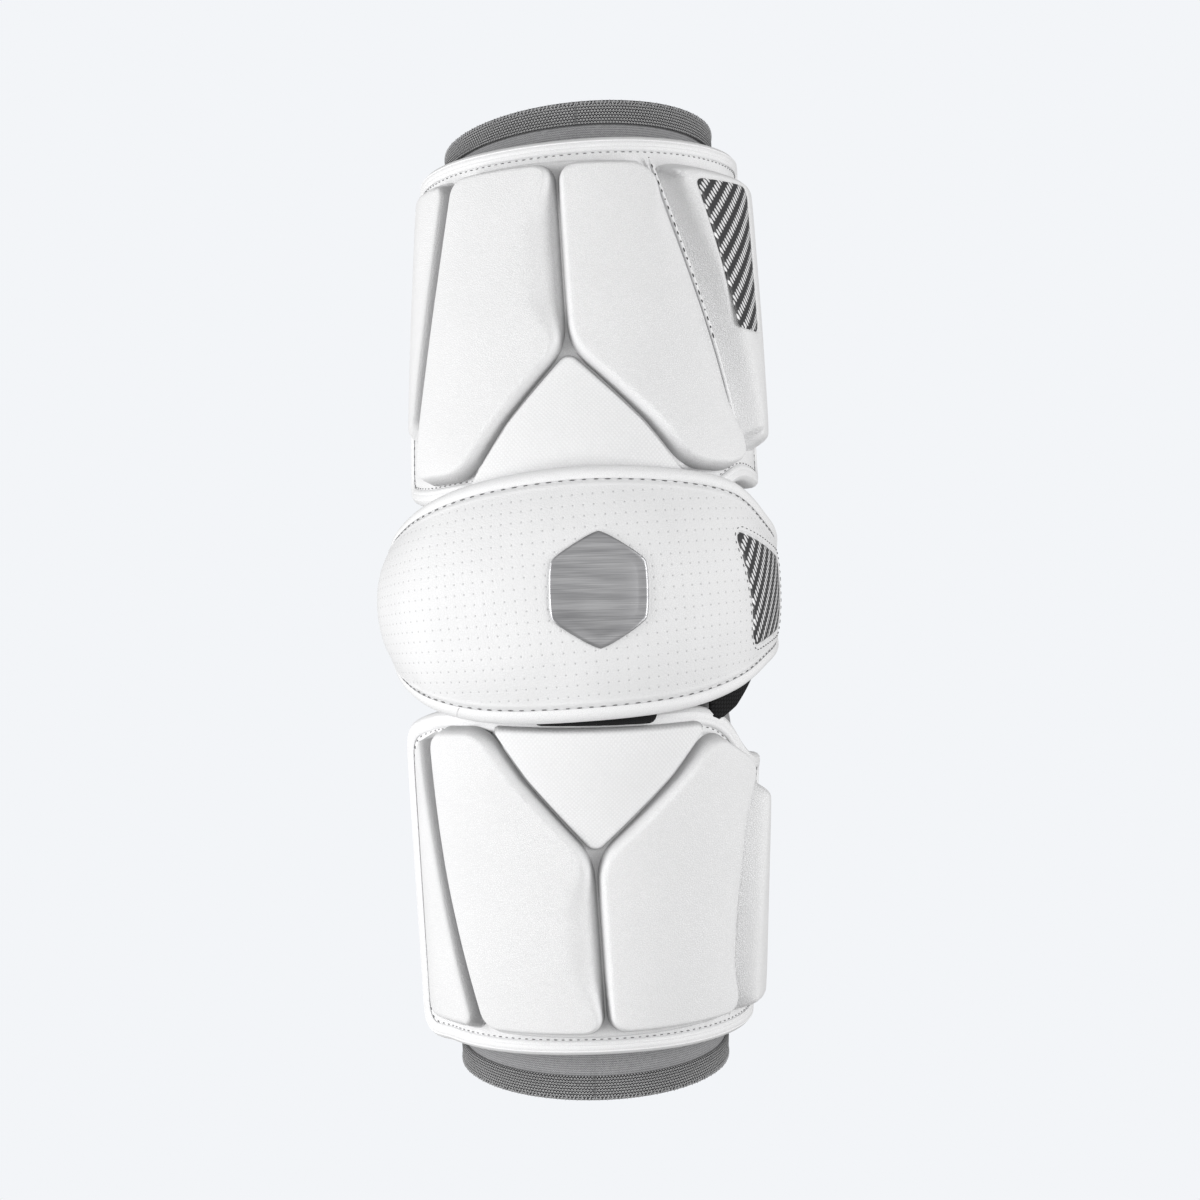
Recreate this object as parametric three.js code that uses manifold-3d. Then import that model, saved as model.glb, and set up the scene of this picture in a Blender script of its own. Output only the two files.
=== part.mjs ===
// Lacrosse arm pad: a bent knit sleeve with two foam panels, moulded blocks and a floating elbow cap.
// Millimetres and degrees. +Z runs along the arm to the shoulder end, the elbow cap faces -Y,
// and the origin is on the arm's axis at the elbow.
// Every piece is drawn flat first: x runs round the arm, y along it and z is the height above the
// sleeve. It is then laid on the bent tube by one function.
import * as THREE from 'three';
import { mergeVertices } from 'three/addons/utils/BufferGeometryUtils.js';
import Module from 'manifold-3d';

const wasm = await Module();
wasm.setup();

// Driving dimensions of the sleeve
const ELBOW_WIDTH = 111;
const SECTION_DEPTH = 0.93;
const ARM_BEND = 10;
const BEND_REACH = 55;
const SLEEVE_WALL = 2.2;

// Lengths along the arm
const UPPER_FIELD = 124;
const LOWER_FIELD = 126;
const UPPER_REVEAL = 7;
const LOWER_REVEAL = 8;
const CUFF_BAND = 9.5;
const CUFF_STEP = 1.4;
const RIM_DROP = 6;
const RIM_TILT = 4;
const RIM_REACH = 60;

// Thickness of each layer
const PANEL_FOAM = 8.9;
const TAPE = 1;
const SKIN = 1.2;
const BLOCK = 6.5;
const WEDGE = 2.6;
const RIGHT_WING = 10.2;
const LEFT_WING = 7.8;
const PATCH = 1;
const POCKET = 1.3;
const HOOK = 2.6;
const WEBBING = 1.8;

// Elbow cap
const CAP_RISE = 40;
const CAP_DROP = 37.5;
const CAP_REACH = 112;
const CAP_EDGE = 4.5;
const CAP_DOME = 6.5;
const CAP_LEAN = 3.6;
const CAP_FRONT_REACH = 42;
const CAP_SIDE_REACH = 72;
const CROWN_ACROSS = 2.2;
const CROWN_ROUND = 6;

// Widths across the work
const PANEL_TAPE_LIP = 6;
const CAP_TAPE_LIP = 4.2;
const STRAP_WIDTH = 26;
const HOOK_WIDTH = 44;
const HOOK_HEIGHT = 19;
const HOOK_ANGLE = 2;
const BADGE_WIDTH = 29;
const BADGE_HEIGHT = 36;
const BADGE_ANGLE = 3.5;
const BADGE_RAISE = 3;
const BADGE_ROUND = 3;
const BADGE_SIDES = 6;

// Clearances and rounding
const SEAT = 0.45;
const CHANNEL = 1.6;
const CAP_CLEAR = 0.5;
const BLOCK_SHOULDER = 4;
const WEDGE_SHOULDER = 1.6;
const WING_SHOULDER = 4;
const LEAST_ROUND = 0.6;
const MOST_OF_SIDE = 0.48;

// Fineness of the facets
const ROUND_STEPS = 26;
const ACROSS_STEP = 12;
const ALONG_STEP = 25;
const CAP_STEP = 14;
const CAP_EDGE_STEPS = 34;
const CORNER_STEPS = 2;
const SHOULDER_STEPS = 2;
const SAME_CORNER = 0.0001;
const SAME_EDGE = 0.001;
const LEAST_STEP = 0.01;

// Heights above the sleeve, each layer seated on the one below
const panelTop = SEAT + PANEL_FOAM;
const skinFoot = panelTop + SEAT;
const skinTop = skinFoot + SKIN;
const blockFoot = skinTop + SEAT;
const wedgeTop = blockFoot + WEDGE;
const tapeTop = skinFoot + TAPE;
const capFront = wedgeTop + SEAT;
const capSide = tapeTop + SEAT;
const strapEnd = capSide - SEAT - WEBBING;

// Places along the arm
const upperStart = CAP_RISE + CAP_CLEAR;
const lowerStart = -CAP_DROP - CAP_CLEAR;
const upperEnd = upperStart + UPPER_FIELD;
const lowerEnd = lowerStart - LOWER_FIELD;
const topRim = upperEnd + UPPER_REVEAL + CUFF_BAND;
const bottomRim = lowerEnd - LOWER_REVEAL - CUFF_BAND;

// The sleeve's width down the arm, as shares of the rim's place and of the elbow's width
const GIRTH = [
  { along: -1.00, width: 0.90 },
  { along: -0.33, width: 0.98 },
  { along: 0.00, width: 1.00 },
  { along: 0.33, width: 1.00 },
  { along: 0.55, width: 0.975 },
  { along: 1.00, width: 0.90 },
];

// Rows of the sleeve between elbow and rim, as shares of the rim's place
const SLEEVE_ROWS = [0, 0.12, 0.24, 0.33, 0.66, 0.84, 1];

// Flat drawing scale: the radius at which angles round the arm become millimetres
const drawingRadius = ELBOW_WIDTH / 2 + panelTop;
const degree = Math.PI / 180;
const perDegree = drawingRadius * degree;

// Outlines: angle round the arm from the front, place along a field as a share, corner rounding
const UPPER_PANEL = [
  { angle: -88, along: 0.992, round: 12 },
  { angle: -20, along: 0.985, round: 25 },
  { angle: 97, along: 1.055, round: 12 },
  { angle: 97, along: 0.000, round: 16 },
  { angle: 62, along: 0.000, round: 8 },
  { angle: 50, along: -0.066, round: 10 },
  { angle: -64, along: -0.066, round: 12 },
  { angle: -88, along: -0.020, round: 10 },
];
const LOWER_PANEL = [
  { angle: -84, along: 0.050, round: 10 },
  { angle: -61, along: -0.020, round: 14 },
  { angle: 38, along: -0.034, round: 9 },
  { angle: 52, along: 0.000, round: 8 },
  { angle: 68, along: 0.130, round: 10 },
  { angle: 97, along: 0.180, round: 9 },
  { angle: 97, along: 0.995, round: 12 },
  { angle: 0, along: 0.976, round: 25 },
  { angle: -84, along: 1.012, round: 12 },
];
const UPPER_SKIN = [
  { angle: -45.5, along: 0.920, round: 3 },
  { angle: 24, along: 0.932, round: 5 },
  { angle: 31.5, along: 0.770, round: 20 },
  { angle: 50, along: 0.340, round: 20 },
  { angle: 60.5, along: 0.072, round: 6 },
  { angle: 46, along: 0.000, round: 6 },
  { angle: -63, along: 0.000, round: 3 },
  { angle: -53.4, along: 0.460, round: 20 },
];
const LOWER_SKIN = [
  { angle: -59, along: 0.055, round: 3 },
  { angle: 38, along: 0.030, round: 6 },
  { angle: 49, along: 0.062, round: 6 },
  { angle: 63.5, along: 0.195, round: 4 },
  { angle: 56.5, along: 0.600, round: 20 },
  { angle: 54.3, along: 0.920, round: 3 },
  { angle: -38.5, along: 0.930, round: 3 },
  { angle: -46.6, along: 0.680, round: 20 },
  { angle: -53.8, along: 0.400, round: 20 },
];
const UPPER_LEFT_BLOCK = [
  { angle: -45.5, along: 0.912, round: 8 },
  { angle: -7.6, along: 0.915, round: 8 },
  { angle: -4.4, along: 0.335, round: 9 },
  { angle: -38, along: -0.020, round: 8 },
  { angle: -62.6, along: -0.012, round: 8 },
  { angle: -53.4, along: 0.460, round: 30 },
];
const UPPER_RIGHT_BLOCK = [
  { angle: -7.6, along: 0.915, round: 8 },
  { angle: 24, along: 0.928, round: 9 },
  { angle: 31.5, along: 0.770, round: 20 },
  { angle: 50, along: 0.340, round: 20 },
  { angle: 60.5, along: 0.060, round: 9 },
  { angle: 52, along: 0.005, round: 9 },
  { angle: 33, along: 0.000, round: 8 },
  { angle: -4.4, along: 0.335, round: 9 },
];
const UPPER_WEDGE = [
  { angle: -4.4, along: 0.335, round: 5 },
  { angle: 38.5, along: -0.050, round: 4 },
  { angle: -41, along: -0.050, round: 4 },
];
const UPPER_LEFT_WING = [
  { angle: -80.5, along: 0.915, round: 10 },
  { angle: -45.5, along: 0.925, round: 10 },
  { angle: -53.4, along: 0.460, round: 30 },
  { angle: -60, along: 0.140, round: 9 },
  { angle: -80.5, along: 0.120, round: 12 },
];
const UPPER_RIGHT_WING = [
  { angle: 25.5, along: 0.905, round: 7 },
  { angle: 33, along: 0.940, round: 9 },
  { angle: 89.5, along: 0.955, round: 10 },
  { angle: 89.5, along: 0.125, round: 12 },
  { angle: 61, along: 0.070, round: 8 },
  { angle: 50, along: 0.340, round: 30 },
  { angle: 31.5, along: 0.770, round: 30 },
];
const LOWER_LEFT_BLOCK = [
  { angle: -58, along: 0.024, round: 8 },
  { angle: -34, along: 0.004, round: 8 },
  { angle: 1.2, along: 0.365, round: 9 },
  { angle: 4.2, along: 0.910, round: 8 },
  { angle: -38.5, along: 0.920, round: 8 },
  { angle: -46.6, along: 0.680, round: 30 },
  { angle: -53.8, along: 0.400, round: 30 },
];
const LOWER_RIGHT_BLOCK = [
  { angle: 1.2, along: 0.365, round: 9 },
  { angle: 41, along: 0.022, round: 8 },
  { angle: 61, along: 0.120, round: 8 },
  { angle: 63.5, along: 0.185, round: 8 },
  { angle: 56.5, along: 0.600, round: 30 },
  { angle: 54.3, along: 0.908, round: 8 },
  { angle: 4.2, along: 0.908, round: 8 },
];
const LOWER_WEDGE = [
  { angle: 1.2, along: 0.365, round: 5 },
  { angle: 41, along: 0.022, round: 3 },
  { angle: 37, along: 0.004, round: 2 },
  { angle: -34, along: 0.004, round: 4 },
];
const LOWER_LEFT_WING = [
  { angle: -76, along: 0.130, round: 8 },
  { angle: -60, along: 0.060, round: 5 },
  { angle: -53.8, along: 0.400, round: 30 },
  { angle: -46.6, along: 0.680, round: 30 },
  { angle: -38.5, along: 0.930, round: 10 },
  { angle: -76, along: 0.945, round: 10 },
];
const LOWER_RIGHT_WING = [
  { angle: 63.5, along: 0.200, round: 7 },
  { angle: 89.5, along: 0.262, round: 9 },
  { angle: 89.5, along: 0.930, round: 10 },
  { angle: 54.5, along: 0.918, round: 8 },
  { angle: 56.5, along: 0.600, round: 30 },
];
const UPPER_INLAY = [
  { angle: 37.5, along: 0.875, round: 3 },
  { angle: 65, along: 0.900, round: 5 },
  { angle: 66, along: 0.440, round: 4 },
  { angle: 53, along: 0.430, round: 3.5 },
  { angle: 45.5, along: 0.660, round: 20 },
];
const LOWER_INLAY = [
  { angle: 76, along: 0.420, round: 5 },
  { angle: 84, along: 0.420, round: 4 },
  { angle: 84, along: 0.840, round: 5 },
  { angle: 76, along: 0.840, round: 5 },
];
const CAP_INLAY = [
  { angle: 45, along: 0.540, round: 4 },
  { angle: 82, along: 0.370, round: 5 },
  { angle: 82, along: -0.320, round: 5 },
  { angle: 54, along: -0.440, round: 5 },
  { angle: 52, along: 0.060, round: 9 },
];

// The cap's outline from its left end to its right end, as shares of its reach, rise and drop
const CAP_OUTLINE = [
  { reach: -1.00, rise: 0.00, drop: 0.00 },
  { reach: -0.94, rise: 0.36, drop: 0.36 },
  { reach: -0.78, rise: 0.58, drop: 0.66 },
  { reach: -0.62, rise: 0.71, drop: 0.83 },
  { reach: -0.45, rise: 0.82, drop: 0.93 },
  { reach: -0.26, rise: 0.93, drop: 0.99 },
  { reach: 0.00, rise: 1.00, drop: 0.96 },
  { reach: 0.26, rise: 0.99, drop: 0.90 },
  { reach: 0.43, rise: 0.93, drop: 0.79 },
  { reach: 0.60, rise: 0.76, drop: 0.65 },
  { reach: 0.82, rise: 0.56, drop: 0.51 },
  { reach: 0.95, rise: 0.32, drop: 0.31 },
  { reach: 1.00, rise: 0.00, drop: 0.00 },
];

// How far each wing falls towards its outer edge, between two angles from the front
const WING_FALLS = {
  upper_left: { from: 58, to: 82, fall: 0.7 },
  lower_left: { from: 60, to: 84, fall: 0.35 },
  right: { from: 56, to: 90, fall: 0.5 },
};

// The strap's course round the back: angle, its middle as a share of the cap's drop, and how far
// it has risen from the sleeve to the cap
const STRAP_COURSE = [
  { angle: 49, middle: -0.62, rise: 1 },
  { angle: 66, middle: -0.40, rise: 1 },
  { angle: 112, middle: -0.08, rise: 1 },
  { angle: 152, middle: 0.00, rise: 0 },
  { angle: 208, middle: 0.00, rise: 0 },
  { angle: 248, middle: 0.00, rise: 1 },
  { angle: 264, middle: 0.00, rise: 1 },
];

// Places and measures

function between(rows, key, value, place) {
  const next = rows.findIndex((row) => row[key] >= place);
  if (next < 0) return rows.at(-1)[value];
  if (next === 0) return rows[0][value];
  const before = rows[next - 1];
  const after = rows[next];
  const share = (place - before[key]) / (after[key] - before[key]);
  return THREE.MathUtils.lerp(before[value], after[value], share);
}

function rimAt(along) {
  return along < 0 ? -bottomRim : topRim;
}

function sleeveHalf(along) {
  const share = THREE.MathUtils.clamp(along / rimAt(along), -1, 1);
  return ELBOW_WIDTH / 2 * between(GIRTH, 'along', 'width', share);
}

function upperPlace(share) {
  return upperStart + share * UPPER_FIELD;
}

function lowerPlace(share) {
  return lowerStart - share * LOWER_FIELD;
}

function capPlace(share) {
  return share * (share < 0 ? CAP_DROP : CAP_RISE);
}

// One point of a piece on the bent arm
function armPoint({ angle, along, height }) {
  const turn = angle * degree;
  const half = sleeveHalf(along);
  const across = (half + height) * Math.sin(turn);
  const outward = (half * SECTION_DEPTH + height) * Math.cos(turn);
  const lean = THREE.MathUtils.clamp(along / BEND_REACH, -1, 1) * ARM_BEND * degree;
  const straight = Math.sign(along) * Math.max(0, Math.abs(along) - BEND_REACH);
  const bendRadius = BEND_REACH / (ARM_BEND * degree);
  const axisY = bendRadius * (1 - Math.cos(lean)) + straight * Math.sin(lean);
  const axisZ = bendRadius * Math.sin(lean) + straight * Math.cos(lean);
  return new THREE.Vector3(
    across,
    axisY - outward * Math.cos(lean),
    axisZ + outward * Math.sin(lean),
  );
}

// Flat outlines

function flatPoints(rows, place) {
  return rows.map((row) => new THREE.Vector2(row.angle * perDegree, place(row.along)));
}

// Moves each side of a closed loop inwards by a distance
function insetLoop(points, distance) {
  const inwards = THREE.ShapeUtils.isClockWise(points) ? -1 : 1;
  return points.map((point, index) => {
    const back = point.clone().sub(points.at(index - 1)).normalize();
    const ahead = points[(index + 1) % points.length].clone().sub(point).normalize();
    const normal = new THREE.Vector2(-back.y - ahead.y, back.x + ahead.x).multiplyScalar(inwards);
    normal.normalize();
    const lean = normal.x * -back.y * inwards + normal.y * back.x * inwards;
    return point.clone().addScaledVector(normal, distance / lean);
  });
}

function towards(point, other, distance) {
  const step = other.clone().sub(point);
  const reach = Math.min(distance, step.length() * MOST_OF_SIDE);
  return point.clone().addScaledVector(step.normalize(), reach);
}

// A closed outline whose corners are rounded by curves
function roundedPath(points, rounds, path) {
  points.forEach((corner, index) => {
    const start = towards(corner, points.at(index - 1), rounds[index]);
    const end = towards(corner, points[(index + 1) % points.length], rounds[index]);
    if (index === 0) path.moveTo(start.x, start.y);
    else path.lineTo(start.x, start.y);
    path.quadraticCurveTo(corner.x, corner.y, end.x, end.y);
  });
  path.closePath();
  return path;
}

// The outline moved inwards, with its corners' rounding reduced to match
function outlinePoints(rows, place, inset) {
  const outer = flatPoints(rows, place);
  const corners = insetLoop(outer, inset);
  const rounds = rows.map((row, index) => {
    const back = outer[index].clone().sub(outer.at(index - 1));
    const ahead = outer[(index + 1) % outer.length].clone().sub(outer[index]);
    return Math.max(LEAST_ROUND, row.round - inset * Math.tan(turnBetween(back, ahead) / 2));
  });
  const points = roundedPath(corners, rounds, new THREE.Path()).getPoints(CORNER_STEPS);
  return withoutRepeats(points);
}

function turnBetween(back, ahead) {
  return Math.abs(Math.atan2(back.cross(ahead), back.dot(ahead)));
}

function withoutRepeats(points) {
  return points.filter((point, index) => point.distanceTo(points.at(index - 1)) > LEAST_STEP);
}

function capPoints(inset) {
  const top = CAP_OUTLINE.map((row) => [row.reach * CAP_REACH * perDegree, row.rise * CAP_RISE]);
  const bottom = CAP_OUTLINE.slice(1, -1).reverse();
  const under = bottom.map((row) => [row.reach * CAP_REACH * perDegree, -row.drop * CAP_DROP]);
  const corners = [...top, ...under].map(([x, y]) => new THREE.Vector3(x, y, 0));
  const smooth = new THREE.CatmullRomCurve3(corners, true).getPoints(CAP_EDGE_STEPS);
  const loop = smooth.slice(0, -1).map((point) => new THREE.Vector2(point.x, point.y));
  return insetLoop(loop, inset);
}

// Flat solids

function solidOf(geometry) {
  const bare = geometry.clone();
  bare.deleteAttribute('normal');
  bare.deleteAttribute('uv');
  const merged = mergeVertices(bare, SAME_CORNER);
  return new wasm.Manifold(new wasm.Mesh({
    numProp: 3,
    vertProperties: merged.attributes.position.array,
    triVerts: Uint32Array.from(merged.index.array),
  }));
}

function geometryOf(solid) {
  const mesh = solid.getMesh();
  const geometry = new THREE.BufferGeometry();
  geometry.setAttribute('position', new THREE.BufferAttribute(mesh.vertProperties, 3));
  geometry.setIndex(new THREE.BufferAttribute(mesh.triVerts, 1));
  return geometry;
}

// A flat sheet between two heights, with an opening if a second loop of the same turn is given
function sheet(points, foot, top, opening) {
  const shape = new THREE.Shape(points);
  if (opening) shape.holes.push(new THREE.Path([...opening].reverse()));
  const geometry = new THREE.ExtrudeGeometry(shape, { depth: top - foot, bevelEnabled: false });
  return solidOf(geometry.translate(0, 0, foot));
}

// A raised pad: an extruded outline whose upper rings are drawn in to a quarter-round shoulder
function pad(rows, place, foot, top, shoulder) {
  const outer = outlinePoints(rows, place, CHANNEL / 2);
  const steps = SHOULDER_STEPS + 1;
  const shape = new THREE.Shape(outer);
  const geometry = new THREE.ExtrudeGeometry(shape, { depth: steps, steps, bevelEnabled: false });
  const rings = [{ loop: outer, height: foot }];
  for (let step = 0; step <= SHOULDER_STEPS; step += 1) {
    const turn = step / SHOULDER_STEPS * Math.PI / 2;
    const inset = CHANNEL / 2 + shoulder * (1 - Math.cos(turn));
    const height = top - shoulder * (1 - Math.sin(turn));
    rings.push({ loop: outlinePoints(rows, place, inset), height });
  }
  const position = geometry.attributes.position;
  for (let index = 0; index < position.count; index += 1) {
    const ring = rings[Math.round(position.getZ(index))];
    const here = new THREE.Vector2(position.getX(index), position.getY(index));
    const corner = outer.findIndex((point) => point.distanceTo(here) < SAME_EDGE);
    position.setXYZ(index, ring.loop[corner].x, ring.loop[corner].y, ring.height);
  }
  return solidOf(geometry);
}

// Tape folded over an edge: a wall down the edge and a lip on top
function foldedTape(outer, wallInner, lipInner, foot, lipFoot, top) {
  return sheet(outer, foot, top, wallInner).add(sheet(outer, lipFoot, top, lipInner));
}

// From flat to the arm

// Evenly spaced cuts between two places, none of them at the ends
function cutPlaces(low, high, step) {
  const count = Math.ceil((high - low) / step);
  const cuts = [];
  for (let cut = 1; cut < count; cut += 1) {
    cuts.push(Math.round((low + (high - low) * cut / count) * 100) / 100);
  }
  return cuts;
}

function cutUp(solids, normal, places) {
  return solids.flatMap((solid) => {
    const parts = [];
    let rest = solid;
    for (const place of places) {
      const [beyond, before] = rest.splitByPlane(normal, place);
      if (!before.isEmpty()) parts.push(before);
      rest = beyond;
    }
    if (!rest.isEmpty()) parts.push(rest);
    return parts;
  });
}

// Cuts a flat solid into a grid of cells and joins them again without the faces between them,
// so that the skin has corners wherever the arm's surface turns
function griddedGeometry(solid, acrossStep, alongStep) {
  const box = solid.boundingBox();
  const acrossCuts = cutPlaces(box.min[0], box.max[0], acrossStep);
  const alongCuts = cutPlaces(box.min[1], box.max[1], alongStep);
  const strips = cutUp([solid], [1, 0, 0], acrossCuts);
  const cells = cutUp(strips, [0, 1, 0], alongCuts);
  const corners = [];
  for (const cell of cells) {
    const position = geometryOf(cell).toNonIndexed().attributes.position;
    for (let index = 0; index < position.count; index += 3) {
      const face = [0, 1, 2].map((step) => {
        return new THREE.Vector3().fromBufferAttribute(position, index + step);
      });
      if (!liesOn(face, 'x', acrossCuts) && !liesOn(face, 'y', alongCuts)) corners.push(...face);
    }
  }
  return closeSeams(mergeVertices(new THREE.BufferGeometry().setFromPoints(corners), SAME_CORNER));
}

// Where one cell has a corner on its neighbour's edge, that edge is split at the corner
function closeSeams(geometry) {
  const position = geometry.attributes.position;
  const place = (index) => new THREE.Vector3().fromBufferAttribute(position, index);
  let faces = [];
  const index = geometry.index.array;
  for (let start = 0; start < index.length; start += 3) faces.push([...index.slice(start, start + 3)]);
  for (let open = openEdges(faces); open.size > 0; open = openEdges(faces)) {
    const loose = [...new Set([...open.values()].map((edge) => edge.from))];
    const before = faces.length;
    faces = faces.flatMap((face) => splitFace(face, open, loose, place));
    if (faces.length === before) break;
  }
  geometry.setIndex(faces.flat());
  return geometry;
}

function openEdges(faces) {
  const edges = new Map();
  for (const face of faces) {
    face.forEach((from, side) => {
      const to = face[(side + 1) % 3];
      edges.set(`${from} ${to}`, { from, to });
    });
  }
  for (const [name, { from, to }] of edges) {
    if (edges.has(`${to} ${from}`)) {
      edges.delete(name);
      edges.delete(`${to} ${from}`);
    }
  }
  return edges;
}

function splitFace(face, open, loose, place) {
  for (let side = 0; side < 3; side += 1) {
    const [from, to, third] = [0, 1, 2].map((step) => face[(side + step) % 3]);
    if (!open.has(`${from} ${to}`)) continue;
    const edge = new THREE.Line3(place(from), place(to));
    const middle = loose.find((corner) => {
      const point = place(corner);
      const nearest = edge.closestPointToPoint(point, true, new THREE.Vector3());
      return !face.includes(corner) && nearest.distanceTo(point) < SAME_EDGE;
    });
    if (middle !== undefined) return [[from, middle, third], [middle, to, third]];
  }
  return [face];
}

function liesOn(face, axis, cuts) {
  return cuts.some((cut) => face.every((corner) => Math.abs(corner[axis] - cut) < SAME_CORNER));
}

function layOnArm(geometry, shift) {
  const position = geometry.attributes.position;
  for (let index = 0; index < position.count; index += 1) {
    const point = {
      angle: position.getX(index) / perDegree,
      along: position.getY(index),
      height: position.getZ(index),
    };
    if (shift) shift(point);
    const placed = armPoint(point);
    position.setXYZ(index, placed.x, placed.y, placed.z);
  }
  return geometry;
}

function laid(solid, shift, alongStep = ALONG_STEP) {
  return layOnArm(griddedGeometry(solid, ACROSS_STEP, alongStep), shift);
}

// The cap's foot lies on the wedges in front and on the panels' tape at the sides
function capFoot(angle) {
  const share = 1 - THREE.MathUtils.smoothstep(Math.abs(angle), CAP_FRONT_REACH, CAP_SIDE_REACH);
  return THREE.MathUtils.lerp(capSide, capFront, share);
}

function capShift(point) {
  const reach = THREE.MathUtils.clamp(point.angle / CAP_REACH, -1, 1);
  const side = point.along < 0 ? 'drop' : 'rise';
  const edge = between(CAP_OUTLINE, 'reach', side, reach) * (side === 'drop' ? CAP_DROP : CAP_RISE);
  const spread = edge > 1 ? Math.min(1, Math.abs(point.along) / edge) : 1;
  const crown = (1 - spread ** CROWN_ACROSS) * (1 - Math.abs(reach) ** CROWN_ROUND);
  const dome = CAP_DOME - CAP_LEAN * Math.sin(point.angle * degree);
  const share = Math.min(1, point.height / CAP_EDGE);
  point.height += capFoot(point.angle) + dome * crown * share;
}

// A wing is highest near the front and lower towards its outer edge
function wingShift({ from, to, fall }) {
  return (point) => {
    const share = THREE.MathUtils.smoothstep(Math.abs(point.angle), from, to);
    point.height = skinFoot + (point.height - skinFoot) * (1 - fall * share);
  };
}

function strapShift(point) {
  point.along += between(STRAP_COURSE, 'angle', 'middle', point.angle) * CAP_DROP;
  point.height += between(STRAP_COURSE, 'angle', 'rise', point.angle) * (strapEnd - SEAT);
}

// A closed profile of height and place, turned round the arm
function ring(profile) {
  const points = [...profile, profile[0]];
  const turned = points.map(([height, along]) => new THREE.Vector2(drawingRadius + height, along));
  const geometry = new THREE.LatheGeometry(turned, ROUND_STEPS);
  geometry.deleteAttribute('normal');
  geometry.deleteAttribute('uv');
  const merged = mergeVertices(geometry, SAME_CORNER);
  const position = merged.attributes.position;
  for (let index = 0; index < position.count; index += 1) {
    const x = position.getX(index);
    const z = position.getZ(index);
    const angle = Math.atan2(x, z) / degree;
    const along = position.getY(index);
    const height = Math.hypot(x, z) - drawingRadius;
    const placed = armPoint({ angle, along: rimPlace(angle, along), height });
    position.setXYZ(index, placed.x, placed.y, placed.z);
  }
  return merged;
}

// The rims are cut lower at the back than in front, and the top one is higher on the right
function rimPlace(angle, along) {
  const reach = Math.abs(along) - Math.abs(rimAt(along)) + RIM_REACH;
  const share = THREE.MathUtils.clamp(reach / RIM_REACH, 0, 1);
  const back = (1 - Math.cos(angle * degree)) / 2;
  const tilt = along > 0 ? RIM_TILT * Math.sin(angle * degree) : 0;
  return along + (tilt - Math.sign(along) * RIM_DROP * back) * share;
}

// Materials

function finish(colour, roughness, metalness = 0) {
  return new THREE.MeshStandardMaterial({ color: colour, roughness, metalness });
}

const whiteFoam = finish('#f2f2f2', 0.6);
const whiteTape = finish('#f5f5f5', 0.5);
const greyKnit = finish('#8f8f91', 0.9);
const greyElastic = finish('#77777a', 0.85);
const wovenPatch = finish('#6e6e70', 0.4);
const silver = finish('#a4a5a8', 0.35, 0.9);
const black = finish('#151515', 0.85);

const armPad = new THREE.Group();

function addPiece(name, geometry, material) {
  const mesh = new THREE.Mesh(geometry, material);
  mesh.name = name;
  armPad.add(mesh);
}

// Sleeve and cuffs

function sleeveRows() {
  const upper = SLEEVE_ROWS.map((share) => share * (topRim - CUFF_STEP));
  const lower = SLEEVE_ROWS.slice(1).map((share) => share * (bottomRim + CUFF_STEP));
  return [...lower.reverse(), ...upper];
}

function addSleeve() {
  const rows = sleeveRows();
  const outside = rows.map((along) => [0, along]);
  const inside = rows.map((along) => [-SLEEVE_WALL, along]).reverse();
  addPiece('sleeve', ring([...outside, ...inside]), greyKnit);
}

// An elastic band that closes the sleeve's raw edge and laps over it
function addCuff(name, rim) {
  const side = Math.sign(rim);
  const profile = [
    [-SLEEVE_WALL, rim - side * (CUFF_STEP - SEAT)],
    [SEAT, rim - side * (CUFF_STEP - SEAT)],
    [SEAT, rim - side * CUFF_BAND],
    [SEAT + TAPE, rim - side * CUFF_BAND],
    [SEAT + TAPE, rim],
    [-SLEEVE_WALL, rim],
  ];
  addPiece(name, ring(side > 0 ? profile : profile.reverse()), greyElastic);
}

// Panels with their tape

function addPanel(name, rows, place) {
  const outer = outlinePoints(rows, place, 0);
  const wallInner = outlinePoints(rows, place, TAPE);
  const foam = outlinePoints(rows, place, TAPE + SEAT);
  const lipInner = outlinePoints(rows, place, PANEL_TAPE_LIP);
  addPiece(`${name}_panel`, laid(sheet(foam, SEAT, panelTop)), whiteFoam);
  const tape = foldedTape(outer, wallInner, lipInner, SEAT, skinFoot, tapeTop);
  addPiece(`${name}_binding`, laid(tape), whiteTape);
}

function addSkin(name, rows, place) {
  const points = outlinePoints(rows, place, CHANNEL / 2);
  addPiece(name, laid(sheet(points, skinFoot, skinTop)), whiteFoam);
}

function addBlock(name, rows, place, height, shoulder) {
  const block = pad(rows, place, blockFoot, blockFoot + height, shoulder);
  addPiece(name, laid(block), whiteFoam);
}

// Wings, with a pocket where one carries an inlay

function addWing(name, rows, place, shift) {
  const wing = pad(rows, place, skinFoot, skinFoot + LEFT_WING, WING_SHOULDER);
  addPiece(name, laid(wing, shift), whiteFoam);
}

function addInlaidWing(side, rows, inlayRows, place) {
  const top = skinFoot + RIGHT_WING;
  const shift = wingShift(WING_FALLS.right);
  const body = pad(rows, place, skinFoot, top, WING_SHOULDER);
  const pocket = sheet(outlinePoints(inlayRows, place, 0), top - POCKET, top + POCKET);
  addPiece(`${side}_right_wing`, laid(body.subtract(pocket), shift), whiteFoam);
  const foot = top - POCKET + SEAT;
  const inlay = sheet(outlinePoints(inlayRows, place, SEAT), foot, foot + PATCH);
  addPiece(`${side}_inlay`, laid(inlay, shift), wovenPatch);
}

// Elbow cap

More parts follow.
